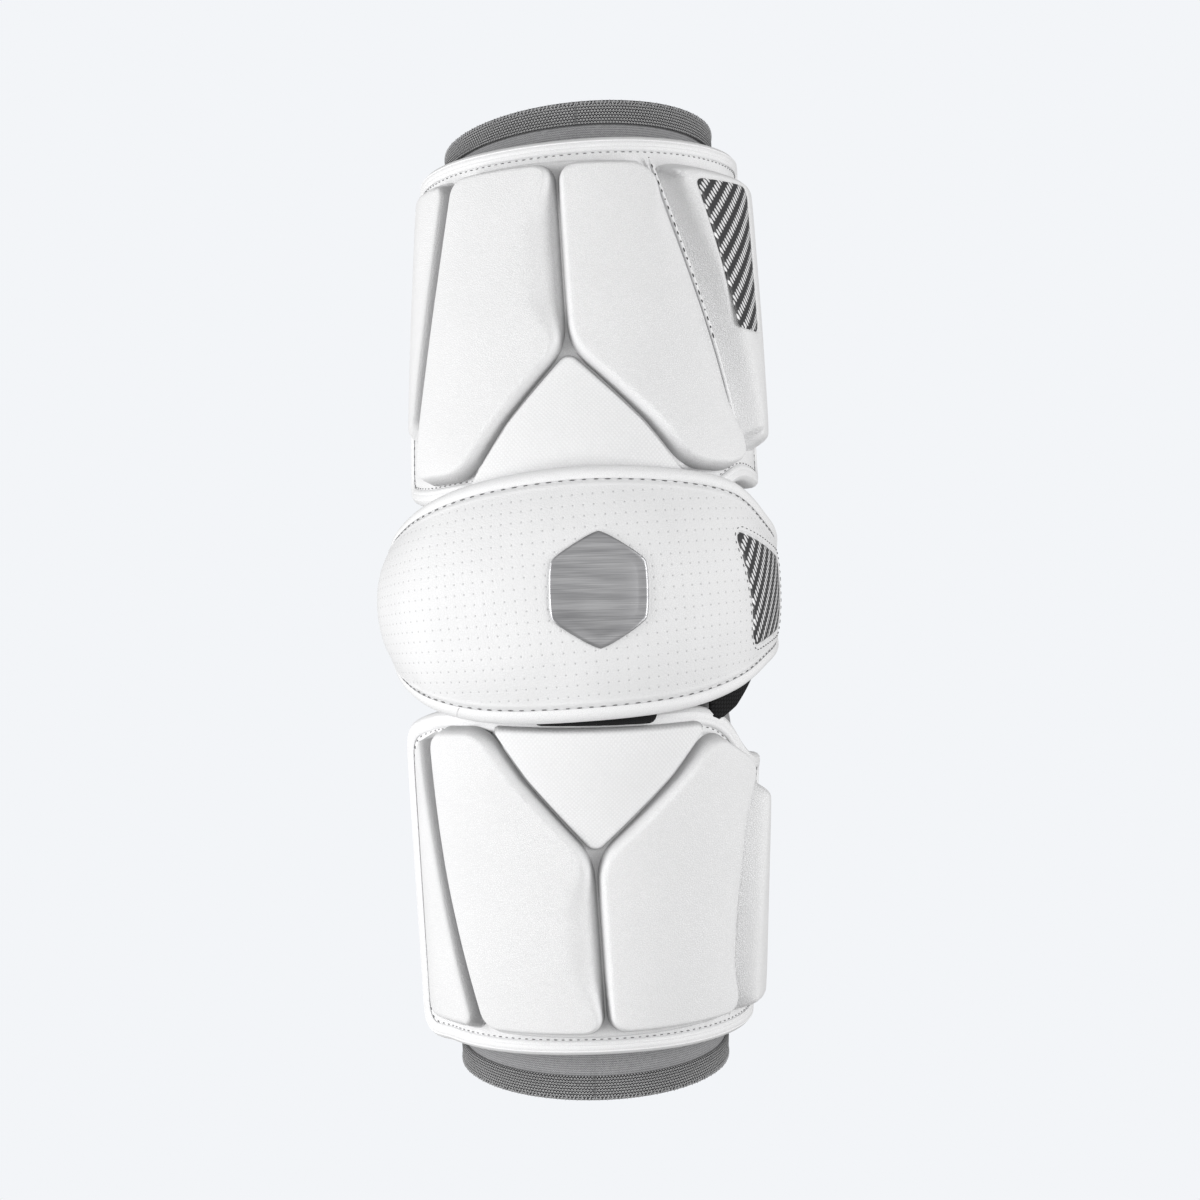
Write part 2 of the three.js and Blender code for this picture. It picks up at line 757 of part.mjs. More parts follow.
function addCap() {
  const pocketFoot = CAP_EDGE - POCKET;
  const pocket = sheet(outlinePoints(CAP_INLAY, capPlace, 0), pocketFoot, CAP_EDGE + POCKET);
  const body = sheet(capPoints(TAPE + SEAT), 0, CAP_EDGE).subtract(pocket);
  addPiece('elbow_cap', laid(body, capShift, CAP_STEP), whiteFoam);
  const inlayFoot = pocketFoot + SEAT;
  const inlay = sheet(outlinePoints(CAP_INLAY, capPlace, SEAT), inlayFoot, inlayFoot + PATCH);
  addPiece('cap_inlay', laid(inlay, capShift, CAP_STEP), wovenPatch);
  const lipFoot = CAP_EDGE + SEAT;
  const outer = capPoints(0);
  const tape = foldedTape(outer, capPoints(TAPE), capPoints(CAP_TAPE_LIP), 0, lipFoot, lipFoot + TAPE);
  addPiece('cap_binding', laid(tape, capShift, CAP_STEP), whiteTape);
}

// A plain six-sided patch on the cap's front
function addBadge() {
  const turn = 2 * Math.PI / BADGE_SIDES;
  const half = BADGE_WIDTH / 2 / Math.sin(turn);
  const corners = Array.from({ length: BADGE_SIDES }, (_, index) => new THREE.Vector2(
    BADGE_ANGLE * perDegree + half * Math.sin(index * turn),
    BADGE_RAISE + BADGE_HEIGHT / 2 * Math.cos(index * turn),
  ));
  const rounds = corners.map(() => BADGE_ROUND);
  const points = roundedPath(corners, rounds, new THREE.Path()).getPoints(CORNER_STEPS);
  const foot = CAP_EDGE + SEAT;
  const badge = sheet(withoutRepeats(points), foot, foot + PATCH);
  addPiece('cap_badge', laid(badge, capShift, CAP_STEP), silver);
}

// Black pieces under the cap

function addHookPatch() {
  const middle = HOOK_ANGLE * perDegree;
  const low = -CAP_DROP - CAP_CLEAR;
  const corners = [
    new THREE.Vector2(middle - HOOK_WIDTH / 2, low),
    new THREE.Vector2(middle + HOOK_WIDTH / 2, low),
    new THREE.Vector2(middle + HOOK_WIDTH / 2, low + HOOK_HEIGHT),
    new THREE.Vector2(middle - HOOK_WIDTH / 2, low + HOOK_HEIGHT),
  ];
  const top = capFront - SEAT;
  addPiece('hook_patch', laid(sheet(corners, top - HOOK, top)), black);
}

function addStrap() {
  const start = STRAP_COURSE[0].angle * perDegree;
  const end = STRAP_COURSE.at(-1).angle * perDegree;
  const half = STRAP_WIDTH / 2;
  const corners = [
    new THREE.Vector2(start, -half),
    new THREE.Vector2(end, -half),
    new THREE.Vector2(end, half),
    new THREE.Vector2(start, half),
  ];
  const band = sheet(corners, SEAT, SEAT + WEBBING);
  addPiece('elbow_strap', laid(band, strapShift, CAP_STEP), black);
}

addSleeve();
addCuff('top_cuff', topRim);
addCuff('bottom_cuff', bottomRim);
addPanel('upper', UPPER_PANEL, upperPlace);
addPanel('lower', LOWER_PANEL, lowerPlace);
addSkin('upper_front_skin', UPPER_SKIN, upperPlace);
addSkin('lower_front_skin', LOWER_SKIN, lowerPlace);
addBlock('upper_left_block', UPPER_LEFT_BLOCK, upperPlace, BLOCK, BLOCK_SHOULDER);
addBlock('upper_right_block', UPPER_RIGHT_BLOCK, upperPlace, BLOCK, BLOCK_SHOULDER);
addBlock('upper_wedge', UPPER_WEDGE, upperPlace, WEDGE, WEDGE_SHOULDER);
addBlock('lower_left_block', LOWER_LEFT_BLOCK, lowerPlace, BLOCK, BLOCK_SHOULDER);
addBlock('lower_right_block', LOWER_RIGHT_BLOCK, lowerPlace, BLOCK, BLOCK_SHOULDER);
addBlock('lower_wedge', LOWER_WEDGE, lowerPlace, WEDGE, WEDGE_SHOULDER);
addWing('upper_left_wing', UPPER_LEFT_WING, upperPlace, wingShift(WING_FALLS.upper_left));
addWing('lower_left_wing', LOWER_LEFT_WING, lowerPlace, wingShift(WING_FALLS.lower_left));
addInlaidWing('upper', UPPER_RIGHT_WING, UPPER_INLAY, upperPlace);
addInlaidWing('lower', LOWER_RIGHT_WING, LOWER_INLAY, lowerPlace);
addCap();
addBadge();
addHookPatch();
addStrap();

export default armPad;
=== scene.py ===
import math

import bpy
import numpy as np
from mathutils import Matrix, Vector
from mathutils.geometry import delaunay_2d_cdt


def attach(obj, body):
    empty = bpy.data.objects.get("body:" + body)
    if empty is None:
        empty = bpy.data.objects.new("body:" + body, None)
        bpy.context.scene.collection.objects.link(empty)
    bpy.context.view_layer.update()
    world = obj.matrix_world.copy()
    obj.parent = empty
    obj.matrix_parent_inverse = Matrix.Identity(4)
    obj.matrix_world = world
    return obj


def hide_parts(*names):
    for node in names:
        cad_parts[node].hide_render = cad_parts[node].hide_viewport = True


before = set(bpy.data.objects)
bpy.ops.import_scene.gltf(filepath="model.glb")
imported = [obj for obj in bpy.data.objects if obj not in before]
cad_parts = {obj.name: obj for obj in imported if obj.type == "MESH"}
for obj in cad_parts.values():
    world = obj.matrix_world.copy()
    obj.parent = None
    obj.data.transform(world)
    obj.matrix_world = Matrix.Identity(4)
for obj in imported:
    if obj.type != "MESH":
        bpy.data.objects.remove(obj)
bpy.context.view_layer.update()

MM = 0.001

# The sleeve
ELBOW_WIDTH = 111
SECTION_DEPTH = 0.93
ARM_BEND = 10
BEND_REACH = 55
SLEEVE_WALL = 2.2

# Where the sleeve is drawn in, below the strap's right end
WAIST_ANGLE = 85
WAIST_PLACE = -34
WAIST_HALF = 12
WAIST_DEPTH = 2.6

# Lengths along the arm
UPPER_FIELD = 124
LOWER_FIELD = 126
UPPER_REVEAL = 7
LOWER_REVEAL = 8
CUFF_BAND = 9.5
CUFF_STEP = 1.4
RIM_DROP = 6
RIM_TILT = 4
RIM_REACH = 60

# Thickness of each layer
PANEL_FOAM = 8.9
TAPE = 1
SKIN = 1.2
BLOCK = 6.5
WEDGE = 2.6
RIGHT_WING = 10.2
LEFT_WING = 7.8
WEBBING = 1.8
HOOK = 2.6

# Elbow cap, its reaches in degrees round the arm
CAP_RISE = 40
CAP_DROP = 37.5
CAP_REACH = 112
CAP_FRONT_REACH = 42
CAP_SIDE_REACH = 72
CAP_EDGE = 4.5
CAP_DOME = 6.5
CAP_LEAN = 3.6
CROWN_ACROSS = 2.2
CROWN_ROUND = 6

# Widths across the work
PANEL_TAPE_LIP = 6
CAP_TAPE_LIP = 4.2
STRAP_WIDTH = 26
HOOK_WIDTH = 44
HOOK_HEIGHT = 19
HOOK_ANGLE = 2
BADGE_WIDTH = 29
BADGE_HEIGHT = 36
BADGE_ANGLE = 3.5
BADGE_RAISE = 3
TAPE_JOINT = (-46, -36)

# Clearances. The insets pull the outlines inwards, which leaves the channels open.
SEAT = 0.45
TOUCH = 0.05
CAP_CLEAR = 0.5
BLOCK_INSET = 0.35
SKIN_INSET = 0.4
WING_INSET = 0.5
INLAY_INSET = 0.25

# Moulded foam. The rings follow a piece's edge, at these depths from it.
SWELL_REACH = 9
WALL_RINGS = [0.35, 0.8, 1.3, 1.9, 2.5, 3.1, 3.8, 4.6, 5.6, 7.0]
WIDE_WALL_RINGS = WALL_RINGS + [8.6, 10.4, 12.4]
POCKET_SINK = 0.75
POCKET_EASE = 0.2
POCKET_RINGS = (-0.7, -0.2, 0.3, 0.8)

# How far the lower panel's left edge stands off the arm, and between which angles it rises
EDGE_LIFT = 5.2
LIFT_ANGLES = (62, 80)

# Spacing of points along outlines and across them
LINE_STEP = 1.5
FINE_STEP = 1.3
ARC_STEPS = 13
EASED_FROM = 4
LEAST_ROUND = 0.6
MOST_OF_SIDE = 0.48
PANEL_GRID = 4.5
BLOCK_GRID = 3.2
TRIANGLE_HEIGHT = 0.866
LEAST_APART = 0.45
LEAST_FROM_EDGE = 0.3

# Heights above the sleeve
panel_top = SEAT + PANEL_FOAM
skin_top = panel_top + SEAT + SKIN
block_crown = skin_top + SEAT + BLOCK
wedge_crown = skin_top + SEAT + WEDGE
wing_foot = panel_top + SEAT
tape_top = panel_top + SEAT + TAPE
cap_front = wedge_crown + SEAT
cap_side = tape_top + SEAT
strap_end = cap_side - SEAT - WEBBING

# Places along the arm
upper_start = CAP_RISE + CAP_CLEAR
lower_start = -CAP_DROP - CAP_CLEAR
top_rim = upper_start + UPPER_FIELD + UPPER_REVEAL + CUFF_BAND
bottom_rim = lower_start - LOWER_FIELD - LOWER_REVEAL - CUFF_BAND
drawing_radius = ELBOW_WIDTH / 2 + panel_top
per_degree = drawing_radius * math.pi / 180

# The sleeve's width: place as a share of the rim's, width as a share of the elbow's
GIRTH = [(-1.00, 0.90), (-0.33, 0.98), (0.00, 1.00), (0.33, 1.00), (0.55, 0.975), (1.00, 0.90)]
GIRTH_EASE = 20

# Outlines: degrees round the arm from the front, share of the field, rounding in millimetres
UPPER_PANEL = [
    (-88, 0.992, 12), (-20, 0.985, 25), (97, 1.055, 12), (97, 0.000, 16), (62, 0.000, 8),
    (50, -0.066, 10), (-64, -0.066, 12), (-88, -0.020, 10),
]
LOWER_PANEL = [
    (-81, 0.050, 10), (-61, -0.020, 14), (38, -0.034, 9), (52, 0.000, 8), (68, 0.130, 10),
    (97, 0.180, 9), (97, 0.995, 12), (0, 0.976, 25), (-81, 1.012, 12),
]
UPPER_SKIN = [
    (-45.5, 0.920, 3), (24, 0.932, 5), (31.5, 0.770, 20), (50, 0.340, 20), (60.5, 0.072, 6),
    (46, 0.000, 6), (-63, 0.000, 3), (-53.4, 0.460, 20),
]
LOWER_SKIN = [
    (-59, 0.055, 3), (38, 0.030, 6), (49, 0.062, 6), (63.5, 0.195, 4), (56.5, 0.600, 20),
    (54.3, 0.920, 3), (-38.5, 0.930, 3), (-46.6, 0.680, 20), (-53.8, 0.400, 20),
]
UPPER_LEFT_BLOCK = [
    (-45.5, 0.912, 8), (-7.6, 0.915, 8), (-4.4, 0.335, 9), (-38, -0.020, 8), (-62.6, -0.012, 8),
    (-53.4, 0.460, 30),
]
UPPER_RIGHT_BLOCK = [
    (-7.6, 0.915, 8), (24, 0.928, 9), (31.5, 0.770, 20), (50, 0.340, 20), (60.5, 0.060, 9),
    (52, 0.005, 9), (33, 0.000, 8), (-4.4, 0.335, 9),
]
UPPER_WEDGE = [
    (-4.4, 0.335, 5), (38.5, -0.050, 4), (-41, -0.050, 4),
]
UPPER_LEFT_WING = [
    (-80.5, 0.915, 10), (-45.5, 0.925, 10), (-53.4, 0.460, 30), (-60, 0.140, 9),
    (-80.5, 0.120, 12),
]
UPPER_RIGHT_WING = [
    (25.5, 0.905, 7), (33, 0.940, 9), (89.5, 0.955, 10), (89.5, 0.125, 12),
    (61, 0.070, 8), (50, 0.340, 30), (31.5, 0.770, 30),
]
LOWER_LEFT_BLOCK = [
    (-58, 0.024, 8), (-34, 0.004, 8), (1.2, 0.365, 9), (4.2, 0.910, 8), (-38.5, 0.920, 8),
    (-46.6, 0.680, 30), (-53.8, 0.400, 30),
]
LOWER_RIGHT_BLOCK = [
    (1.2, 0.365, 9), (41, 0.022, 8), (61, 0.120, 8), (63.5, 0.185, 8),
    (56.5, 0.600, 30), (54.3, 0.908, 8), (4.2, 0.908, 8),
]
LOWER_WEDGE = [(1.2, 0.365, 5), (41, 0.022, 3), (37, 0.004, 2), (-34, 0.004, 4)]
LOWER_LEFT_WING = [
    (-72.5, 0.085, 6), (-61, 0.035, 3), (-53.8, 0.400, 30), (-46.6, 0.680, 30),
    (-38.5, 0.930, 10), (-72.5, 0.945, 10),
]
LOWER_RIGHT_WING = [
    (63.5, 0.200, 7), (89.5, 0.262, 9), (89.5, 0.930, 10), (54.5, 0.918, 8), (56.5, 0.600, 30),
]
UPPER_INLAY = [
    (37.5, 0.875, 3), (65, 0.900, 5), (66, 0.440, 3), (53, 0.430, 2), (45.5, 0.660, 20),
]
LOWER_INLAY = [(76, 0.420, 5), (84, 0.420, 4), (84, 0.840, 5), (76, 0.840, 5)]
CAP_INLAY = [
    (45, 0.540, 4), (82, 0.370, 5), (82, -0.320, 5), (54, -0.440, 5), (52, 0.060, 9),
]

# The cap from end to end: shares of its reach, rise and drop
CAP_OUTLINE = [
    (-1.00, 0.00, 0.00), (-0.94, 0.36, 0.36), (-0.78, 0.58, 0.66), (-0.62, 0.71, 0.83),
    (-0.45, 0.82, 0.93), (-0.26, 0.93, 0.99), (0.00, 1.00, 0.96), (0.26, 0.99, 0.90),
    (0.43, 0.93, 0.79), (0.60, 0.76, 0.65), (0.82, 0.56, 0.51), (0.95, 0.32, 0.31),
    (1.00, 0.00, 0.00),
]
cap_reach, cap_rise, cap_drop = np.array(CAP_OUTLINE).T

# The strap's course: degrees, its middle as a share of the cap's drop, its rise to the cap
STRAP_COURSE = [
    (44, -0.77, 1), (58, -0.635, 1), (75, -0.33, 1), (112, -0.08, 1), (152, 0.00, 0), (208, 0.00, 0),
    (248, 0.00, 1), (264, 0.00, 1),
]
course_angle, course_middle, course_rise = np.array(STRAP_COURSE).T


# Places

def upper_place(share):
    return upper_start + share * UPPER_FIELD


def lower_place(share):
    return lower_start - share * LOWER_FIELD


def cap_place(share):
    return share * (CAP_DROP if share < 0 else CAP_RISE)


def smoothstep(value, low, high):
    share = np.clip((value - low) / (high - low), 0, 1)
    return share * share * (3 - 2 * share)


def eased_girth():
    """The sleeve's half width every half millimetre, with the table's corners rounded off."""
    along = np.arange(-260, 260.1, 0.5)
    share = np.clip(along / np.where(along < 0, -bottom_rim, top_rim), -1, 1)
    half = ELBOW_WIDTH / 2 * np.interp(share, *np.array(GIRTH).T)
    window = np.ones(2 * GIRTH_EASE + 1) / (2 * GIRTH_EASE + 1)
    return along, np.convolve(np.pad(half, GIRTH_EASE, mode="edge"), window, mode="valid")


girth_along, girth_half = eased_girth()


def on_arm(around, along, height):
    """Lays flat places in millimetres on the bent arm, in metres."""
    around, along, height = np.broadcast_arrays(*(np.asarray(x, float) for x in (around, along, height)))
    turn = around / drawing_radius
    half = np.interp(along, girth_along, girth_half)
    outward = (half * SECTION_DEPTH + height) * np.cos(turn)
    lean = np.clip(along / BEND_REACH, -1, 1) * math.radians(ARM_BEND)
    straight = np.sign(along) * np.maximum(0, np.abs(along) - BEND_REACH)
    bend_radius = BEND_REACH / math.radians(ARM_BEND)
    axis_y = bend_radius * (1 - np.cos(lean)) + straight * np.sin(lean)
    axis_z = bend_radius * np.sin(lean) + straight * np.cos(lean)
    return MM * np.column_stack([
        (half + height) * np.sin(turn),
        axis_y - outward * np.cos(lean),
        axis_z + outward * np.sin(lean),
    ])


def rim_place(around, along):
    """The rims are cut lower at the back than in front, and the top one is higher on the right."""
    rim = np.where(along < 0, -bottom_rim, top_rim)
    share = np.clip((np.abs(along) - rim + RIM_REACH) / RIM_REACH, 0, 1)
    back = (1 - np.cos(around / drawing_radius)) / 2
    tilt = np.where(along > 0, RIM_TILT * np.sin(around / drawing_radius), 0)
    return along + (tilt - np.sign(along) * RIM_DROP * back) * share


# Flat outlines

def unit(arrows):
    return arrows / np.linalg.norm(arrows, axis=1, keepdims=True)


def loop_area(loop):
    """A loop's area, negative where it runs clockwise."""
    x, y = loop.T
    return 0.5 * np.sum(x * np.roll(y, -1) - np.roll(x, -1) * y)


def inwards(loop):
    """The inward normals of the sides after and before each point of a closed loop."""
    ahead = unit(np.roll(loop, -1, axis=0) - loop)
    normal = np.column_stack([-ahead[:, 1], ahead[:, 0]]) * np.sign(loop_area(loop))
    return normal, np.roll(normal, 1, axis=0)


def inset_corners(corners, distance):
    after, before = inwards(corners)
    middle = unit(after + before)
    return corners + middle * (distance / np.sum(middle * after, axis=1))[:, None]


def evenly(points, step, closed=True):
    """Points at an even spacing along a line."""
    line = np.vstack([points, points[:1]]) if closed else np.asarray(points, float)
    travel = np.concatenate([[0], np.cumsum(np.linalg.norm(np.diff(line, axis=0), axis=1))])
    count = max(3, round(travel[-1] / step))
    stops = np.linspace(0, travel[-1], count + 1)
    if closed:
        stops = stops[:-1]
    return np.column_stack([np.interp(stops, travel, line[:, 0]), np.interp(stops, travel, line[:, 1])])


def outline(rows, place, inset=0.0, step=LINE_STEP):
    """An outline's loop, moved inwards, its corners rounded to arcs."""
    corners = np.array([[angle * per_degree, place(share)] for angle, share, _ in rows])
    moved = inset_corners(corners, inset) if inset else corners
    points = []
    for index, (_, _, rounding) in enumerate(rows):
        back = corners[index] - corners[index - 1]
        ahead = corners[(index + 1) % len(rows)] - corners[index]
        turn = abs(math.atan2(back[0] * ahead[1] - back[1] * ahead[0], back @ ahead))
        leg = max(LEAST_ROUND, rounding - inset * math.tan(turn / 2))
        ends = []
        for neighbour in (moved[index - 1], moved[(index + 1) % len(rows)]):
            side = neighbour - moved[index]
            length = np.linalg.norm(side)
            ends.append(moved[index] + side / length * min(leg, MOST_OF_SIDE * length))
        start, end = ends
        weight = math.cos(turn / 2)
        for share in np.linspace(0, 1, ARC_STEPS):
            a, b, c = (1 - share) ** 2, 2 * weight * share * (1 - share), share ** 2
            points.append((a * start + b * moved[index] + c * end) / (a + b + c))
    return evenly(np.array(points), step)


def cap_outline(inset=0.0):
    """A smooth curve through the cap's places, moved inwards."""
    top = np.column_stack([cap_reach * CAP_REACH * per_degree, cap_rise * CAP_RISE])
    under = np.column_stack([cap_reach * CAP_REACH * per_degree, -cap_drop * CAP_DROP])[-2:0:-1]
    knots = np.vstack([top, under])
    before, after, beyond = (np.roll(knots, shift, axis=0) for shift in (1, -1, -2))
    points = []
    for share in np.linspace(0, 1, 16, endpoint=False):
        points.append(0.5 * (2 * knots + (after - before) * share
                             + (2 * before - 5 * knots + 4 * after - beyond) * share ** 2
                             + (3 * knots - before - 3 * after + beyond) * share ** 3))
    loop = evenly(np.stack(points, axis=1).reshape(-1, 2)[::-1], LINE_STEP)
    return follow(loop, inset) if inset else loop


def follow(loop, inset, easing=0):
    """A loop's points moved inwards, one for one, and eased where they crowd in a corner."""
    after, before = inwards(loop)
    middle = unit(after + before)
    for _ in range(2):
        middle = unit(middle + np.roll(middle, 1, axis=0) + np.roll(middle, -1, axis=0))
    moved = loop + middle * inset
    for _ in range(easing):
        moved = 0.5 * moved + 0.25 * (np.roll(moved, 1, axis=0) + np.roll(moved, -1, axis=0))
    return moved


def edge_distance(points, loop):
    """Each point's distance to a closed line, and the direction to it from the nearest place there."""
    step = np.roll(loop, -1, axis=0) - loop
    length = np.maximum(np.sum(step * step, axis=1), 1e-9)
    best = np.full(len(points), 1e9)
    away = np.zeros((len(points), 2))
    batch = 2000
    for low in range(0, len(points), batch):
        part = points[low:low + batch]
        offset = part[:, None] - loop[None]
        share = np.clip(np.sum(offset * step, axis=2) / length, 0, 1)
        rest = offset - share[..., None] * step
        square = np.sum(rest * rest, axis=2)
        nearest = np.argmin(square, axis=1)
        rows = np.arange(len(part))
        best[low:low + batch] = np.sqrt(square[rows, nearest])
        away[low:low + batch] = rest[rows, nearest]
    return best, away / np.maximum(best, 1e-6)[:, None]


def inside(points, loop):
    """Whether each point lies inside a closed loop."""
    ahead = np.roll(loop, -1, axis=0)
    x, y = points[:, 0][:, None], points[:, 1][:, None]
    spans = (loop[:, 1] > y) != (ahead[:, 1] > y)
    rise = np.where(ahead[:, 1] == loop[:, 1], 1e-9, ahead[:, 1] - loop[:, 1])
    crossing = (ahead[:, 0] - loop[:, 0]) * (y - loop[:, 1]) / rise + loop[:, 0]
    return np.sum(spans & (x < crossing), axis=1) % 2 == 1


def fill(loop, rings, grid, inner=()):
    """Points and triangles of a flat shape: its edge, rings that follow it, and a grid within.
    inner holds further loops, each with the insets of the rings that follow it."""
    clouds = [loop]
    for line, insets in inner:
        clouds += [follow(line, inset) for inset in insets]
    for inset in rings:
        ring = follow(loop, inset)
        near, _ = edge_distance(ring, loop)
        clouds.append(ring[inside(ring, loop) & (near > inset * 0.96)])
    low, high = loop.min(axis=0), loop.max(axis=0)
    rows = np.arange(low[1], high[1], grid * TRIANGLE_HEIGHT)
    columns = np.arange(low[0], high[0], grid)
    lattice = np.vstack([np.column_stack([columns + (index % 2) * grid / 2, np.full(len(columns), y)])
                         for index, y in enumerate(rows)])
    lattice = lattice[inside(lattice, loop)]
    near, _ = edge_distance(lattice, loop)
    lattice = lattice[near > (rings[-1] if len(rings) else 0) + 0.5 * grid]
    for line, insets in inner:
        near, _ = edge_distance(lattice, line)
        lattice = lattice[near > max(abs(inset) for inset in insets) + 0.4 * grid]
    clouds.append(lattice)
    points = np.vstack(clouds)
    _, first = np.unique(np.round(points / LEAST_APART), axis=0, return_index=True)
    extra = np.setdiff1d(first, np.arange(len(loop)))
    near, _ = edge_distance(points[extra], loop)
    points = np.vstack([loop, points[extra][near > LEAST_FROM_EDGE]])
    edges = [(index, (index + 1) % len(loop)) for index in range(len(loop))]
    corners, _, faces, _, _, _ = delaunay_2d_cdt([Vector(point) for point in points], edges, [], 1, 1e-4)
    corners = np.array([[corner.x, corner.y] for corner in corners])
    faces = np.array([face for face in faces if len(face) == 3])
    a, b, c = corners[faces[:, 0]], corners[faces[:, 1]], corners[faces[:, 2]]
    turn = (b[:, 0] - a[:, 0]) * (c[:, 1] - a[:, 1]) - (b[:, 1] - a[:, 1]) * (c[:, 0] - a[:, 0])
    faces[turn < 0] = faces[turn < 0][:, ::-1]
    return corners, faces[np.abs(turn) > 1e-7]


def flare(around, along):
    """The lower panel's left edge stands off the arm."""
    return EDGE_LIFT * smoothstep(-around / per_degree, *LIFT_ANGLES) * (along < 0)


# Meshes

def keep_flat(mesh, flat):
    """Keeps each vertex's flat place as a UV map in metres."""
    corner_points = np.zeros(len(mesh.loops), np.int32)
    mesh.loops.foreach_get("vertex_index", corner_points)
    layer = mesh.uv_layers.new(name="flat")
    layer.data.foreach_set("uv", (flat[corner_points] * MM).astype(np.float32).ravel())


def shown(name, places, faces, flat, smooth=40):
    """A piece's object, smooth where its faces meet at less than that many degrees."""
    mesh = bpy.data.meshes.new(name)
    mesh.from_pydata(places.tolist(), [], [list(map(int, face)) for face in faces])
    mesh.update()
    keep_flat(mesh, flat)
    piece = bpy.data.objects.new(name, mesh)
    bpy.context.scene.collection.objects.link(piece)
    bpy.ops.object.select_all(action="DESELECT")
    piece.select_set(True)
    bpy.context.view_layer.objects.active = piece
    bpy.ops.object.shade_smooth_by_angle(angle=math.radians(smooth))
    return piece


def solid(name, corners, faces, top, foot, place=on_arm, smooth=40):
    """A closed piece between two heights over one flat shape."""
    count = len(corners)
    foot = np.broadcast_to(foot, count)
    edges = {}
    for face in faces.tolist():
        for side in range(3):
            edges[(face[side], face[(side + 1) % 3])] = True
    walls = [(b, a, a + count, b + count) for a, b in edges if (b, a) not in edges]
    under = [(face[2] + count, face[1] + count, face[0] + count) for face in faces.tolist()]
    upper = place(corners[:, 0], corners[:, 1], top)
    lower = place(corners[:, 0], corners[:, 1], foot)
    flat = np.vstack([corners, corners])
    return shown(name, np.vstack([upper, lower]), faces.tolist() + under + walls, flat, smooth)


def outward(places, faces):
    """Turns a closed mesh's faces round if they point inwards."""
    volume = 0.0
    for face in faces:
        for a, b in zip(face[1:-1], face[2:]):
            volume += places[face[0]] @ np.cross(places[a], places[b])
    return faces if volume > 0 else [face[::-1] for face in faces]


def ringed(name, rings, flats):
    """A closed piece through rings of places, the last of them joined to the first."""
    count = len(rings[0])
    faces = []
    for k in range(len(rings)):
        n = (k + 1) % len(rings)
        for i in range(count):
            j = (i + 1) % count
            faces.append((k * count + i, k * count + j, n * count + j, n * count + i))
    places = np.vstack(rings)
    return shown(name, places, outward(places, faces), np.vstack(flats), 50)


def swept(name, loop, profile, lift, easing):
    """A closed profile of insets and heights, carried round a loop."""
    flats = [follow(loop, inset, easing if inset > EASED_FROM else 0) for inset, _ in profile]
    rings = [on_arm(*ring.T, lift(*ring.T, height)) for ring, (_, height) in zip(flats, profile)]
    return ringed(name, rings, flats)


def moulded(depth, width, foot_ease=1.5, crown_ease=2.2):
    """A moulded wall's rise from 0 to 1: hollow at its foot, rounded at its crown."""
    share = np.clip(depth / width, 0, 1)
    return 1 - (1 - share ** foot_ease) ** crown_ease


def mark(piece, name, upper, lower):
    """Keeps a share for each corner of a solid's upper side, and one for all of its foot."""
    layer = piece.data.attributes.new(name, "FLOAT", "POINT")
    shares = np.concatenate([upper, np.full(len(upper), lower)])
    layer.data.foreach_set("value", shares.astype(np.float32))


finishes = {}


def dress(piece, material, slot, *nodes, fill_share=None):
    """Gives a piece its material, hangs it under the root body and hides the imported parts named by nodes.
    """
    piece.data.materials.append(finishes[material])
    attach(piece, "root")
    if nodes:
        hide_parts(*nodes)
    return piece


# Materials

def grey(level, blue):
    return level, level, blue, 1


def darker(colour, share):
    return (*(share * part for part in colour[:3]), 1)


WHITE = grey(0.93, 0.935)
WHITE_SHADE = grey(0.90, 0.905)
COVER = grey(0.85, 0.855)
COVER_SHADE = grey(0.82, 0.825)
# Painted shade: the dark grey that white hide is blended towards at the foot of walls and in channels, where
# shade falls
CREASE_SHADE = grey(0.2, 0.204)
PIN_HOLE = grey(0.30, 0.305)
HIDE_SPECULAR = 0.35
PATTERN_TILT = math.radians(-4)


def feed(tree, socket, value):
    """Links an output to an input, or sets the input to a plain value."""
    if isinstance(value, bpy.types.NodeSocket):
        tree.links.new(value, socket)
    else:
        socket.default_value = value


def add(tree, kind, inputs=None, **settings):
    """One shader node, with its settings and with what its inputs hold or are fed by."""
    node = tree.nodes.new(kind)
    for name, value in settings.items():
        setattr(node, name, value)
    for name, value in (inputs or {}).items():
        feed(tree, node.inputs[name], value)
    return node


def sums(tree, operation, *terms):
    """A Math node whose terms are numbers or outputs."""
    return add(tree, "ShaderNodeMath", dict(enumerate(terms)), operation=operation).outputs[0]


def between(tree, value, low, high, out_low=0.0, out_high=1.0):
    limits = {"Value": value, "From Min": low, "From Max": high, "To Min": out_low, "To Max": out_high}
    return add(tree, "ShaderNodeMapRange", limits, interpolation_type="SMOOTHSTEP").outputs[0]


def blend_colours(tree, share, first, second):
    return add(tree, "ShaderNodeMix", {0: share, 6: first, 7: second}, data_type="RGBA").outputs[2]


def noise(tree, place, scale, detail):
    settings = {"Vector": place, "Scale": scale, "Detail": detail}
    return add(tree, "ShaderNodeTexNoise", settings).outputs["Fac"]


def within_repeat(tree, value):
    """The place within each repeat, from -0.5 to 0.5."""
    return sums(tree, "SUBTRACT", sums(tree, "FRACT", value), 0.5)


def off_middle(tree, value):
    """How far each place is from the middle of its repeat."""
    return sums(tree, "ABSOLUTE", within_repeat(tree, value))


def every_other(tree, value):
    """1 in every second repeat and 0 in the rest."""
    return sums(tree, "GREATER_THAN", sums(tree, "FRACT", sums(tree, "MULTIPLY", value, 0.5)), 0.5)


def squares(tree, x, y):
    return sums(tree, "ADD", sums(tree, "MULTIPLY", x, x), sums(tree, "MULTIPLY", y, y))


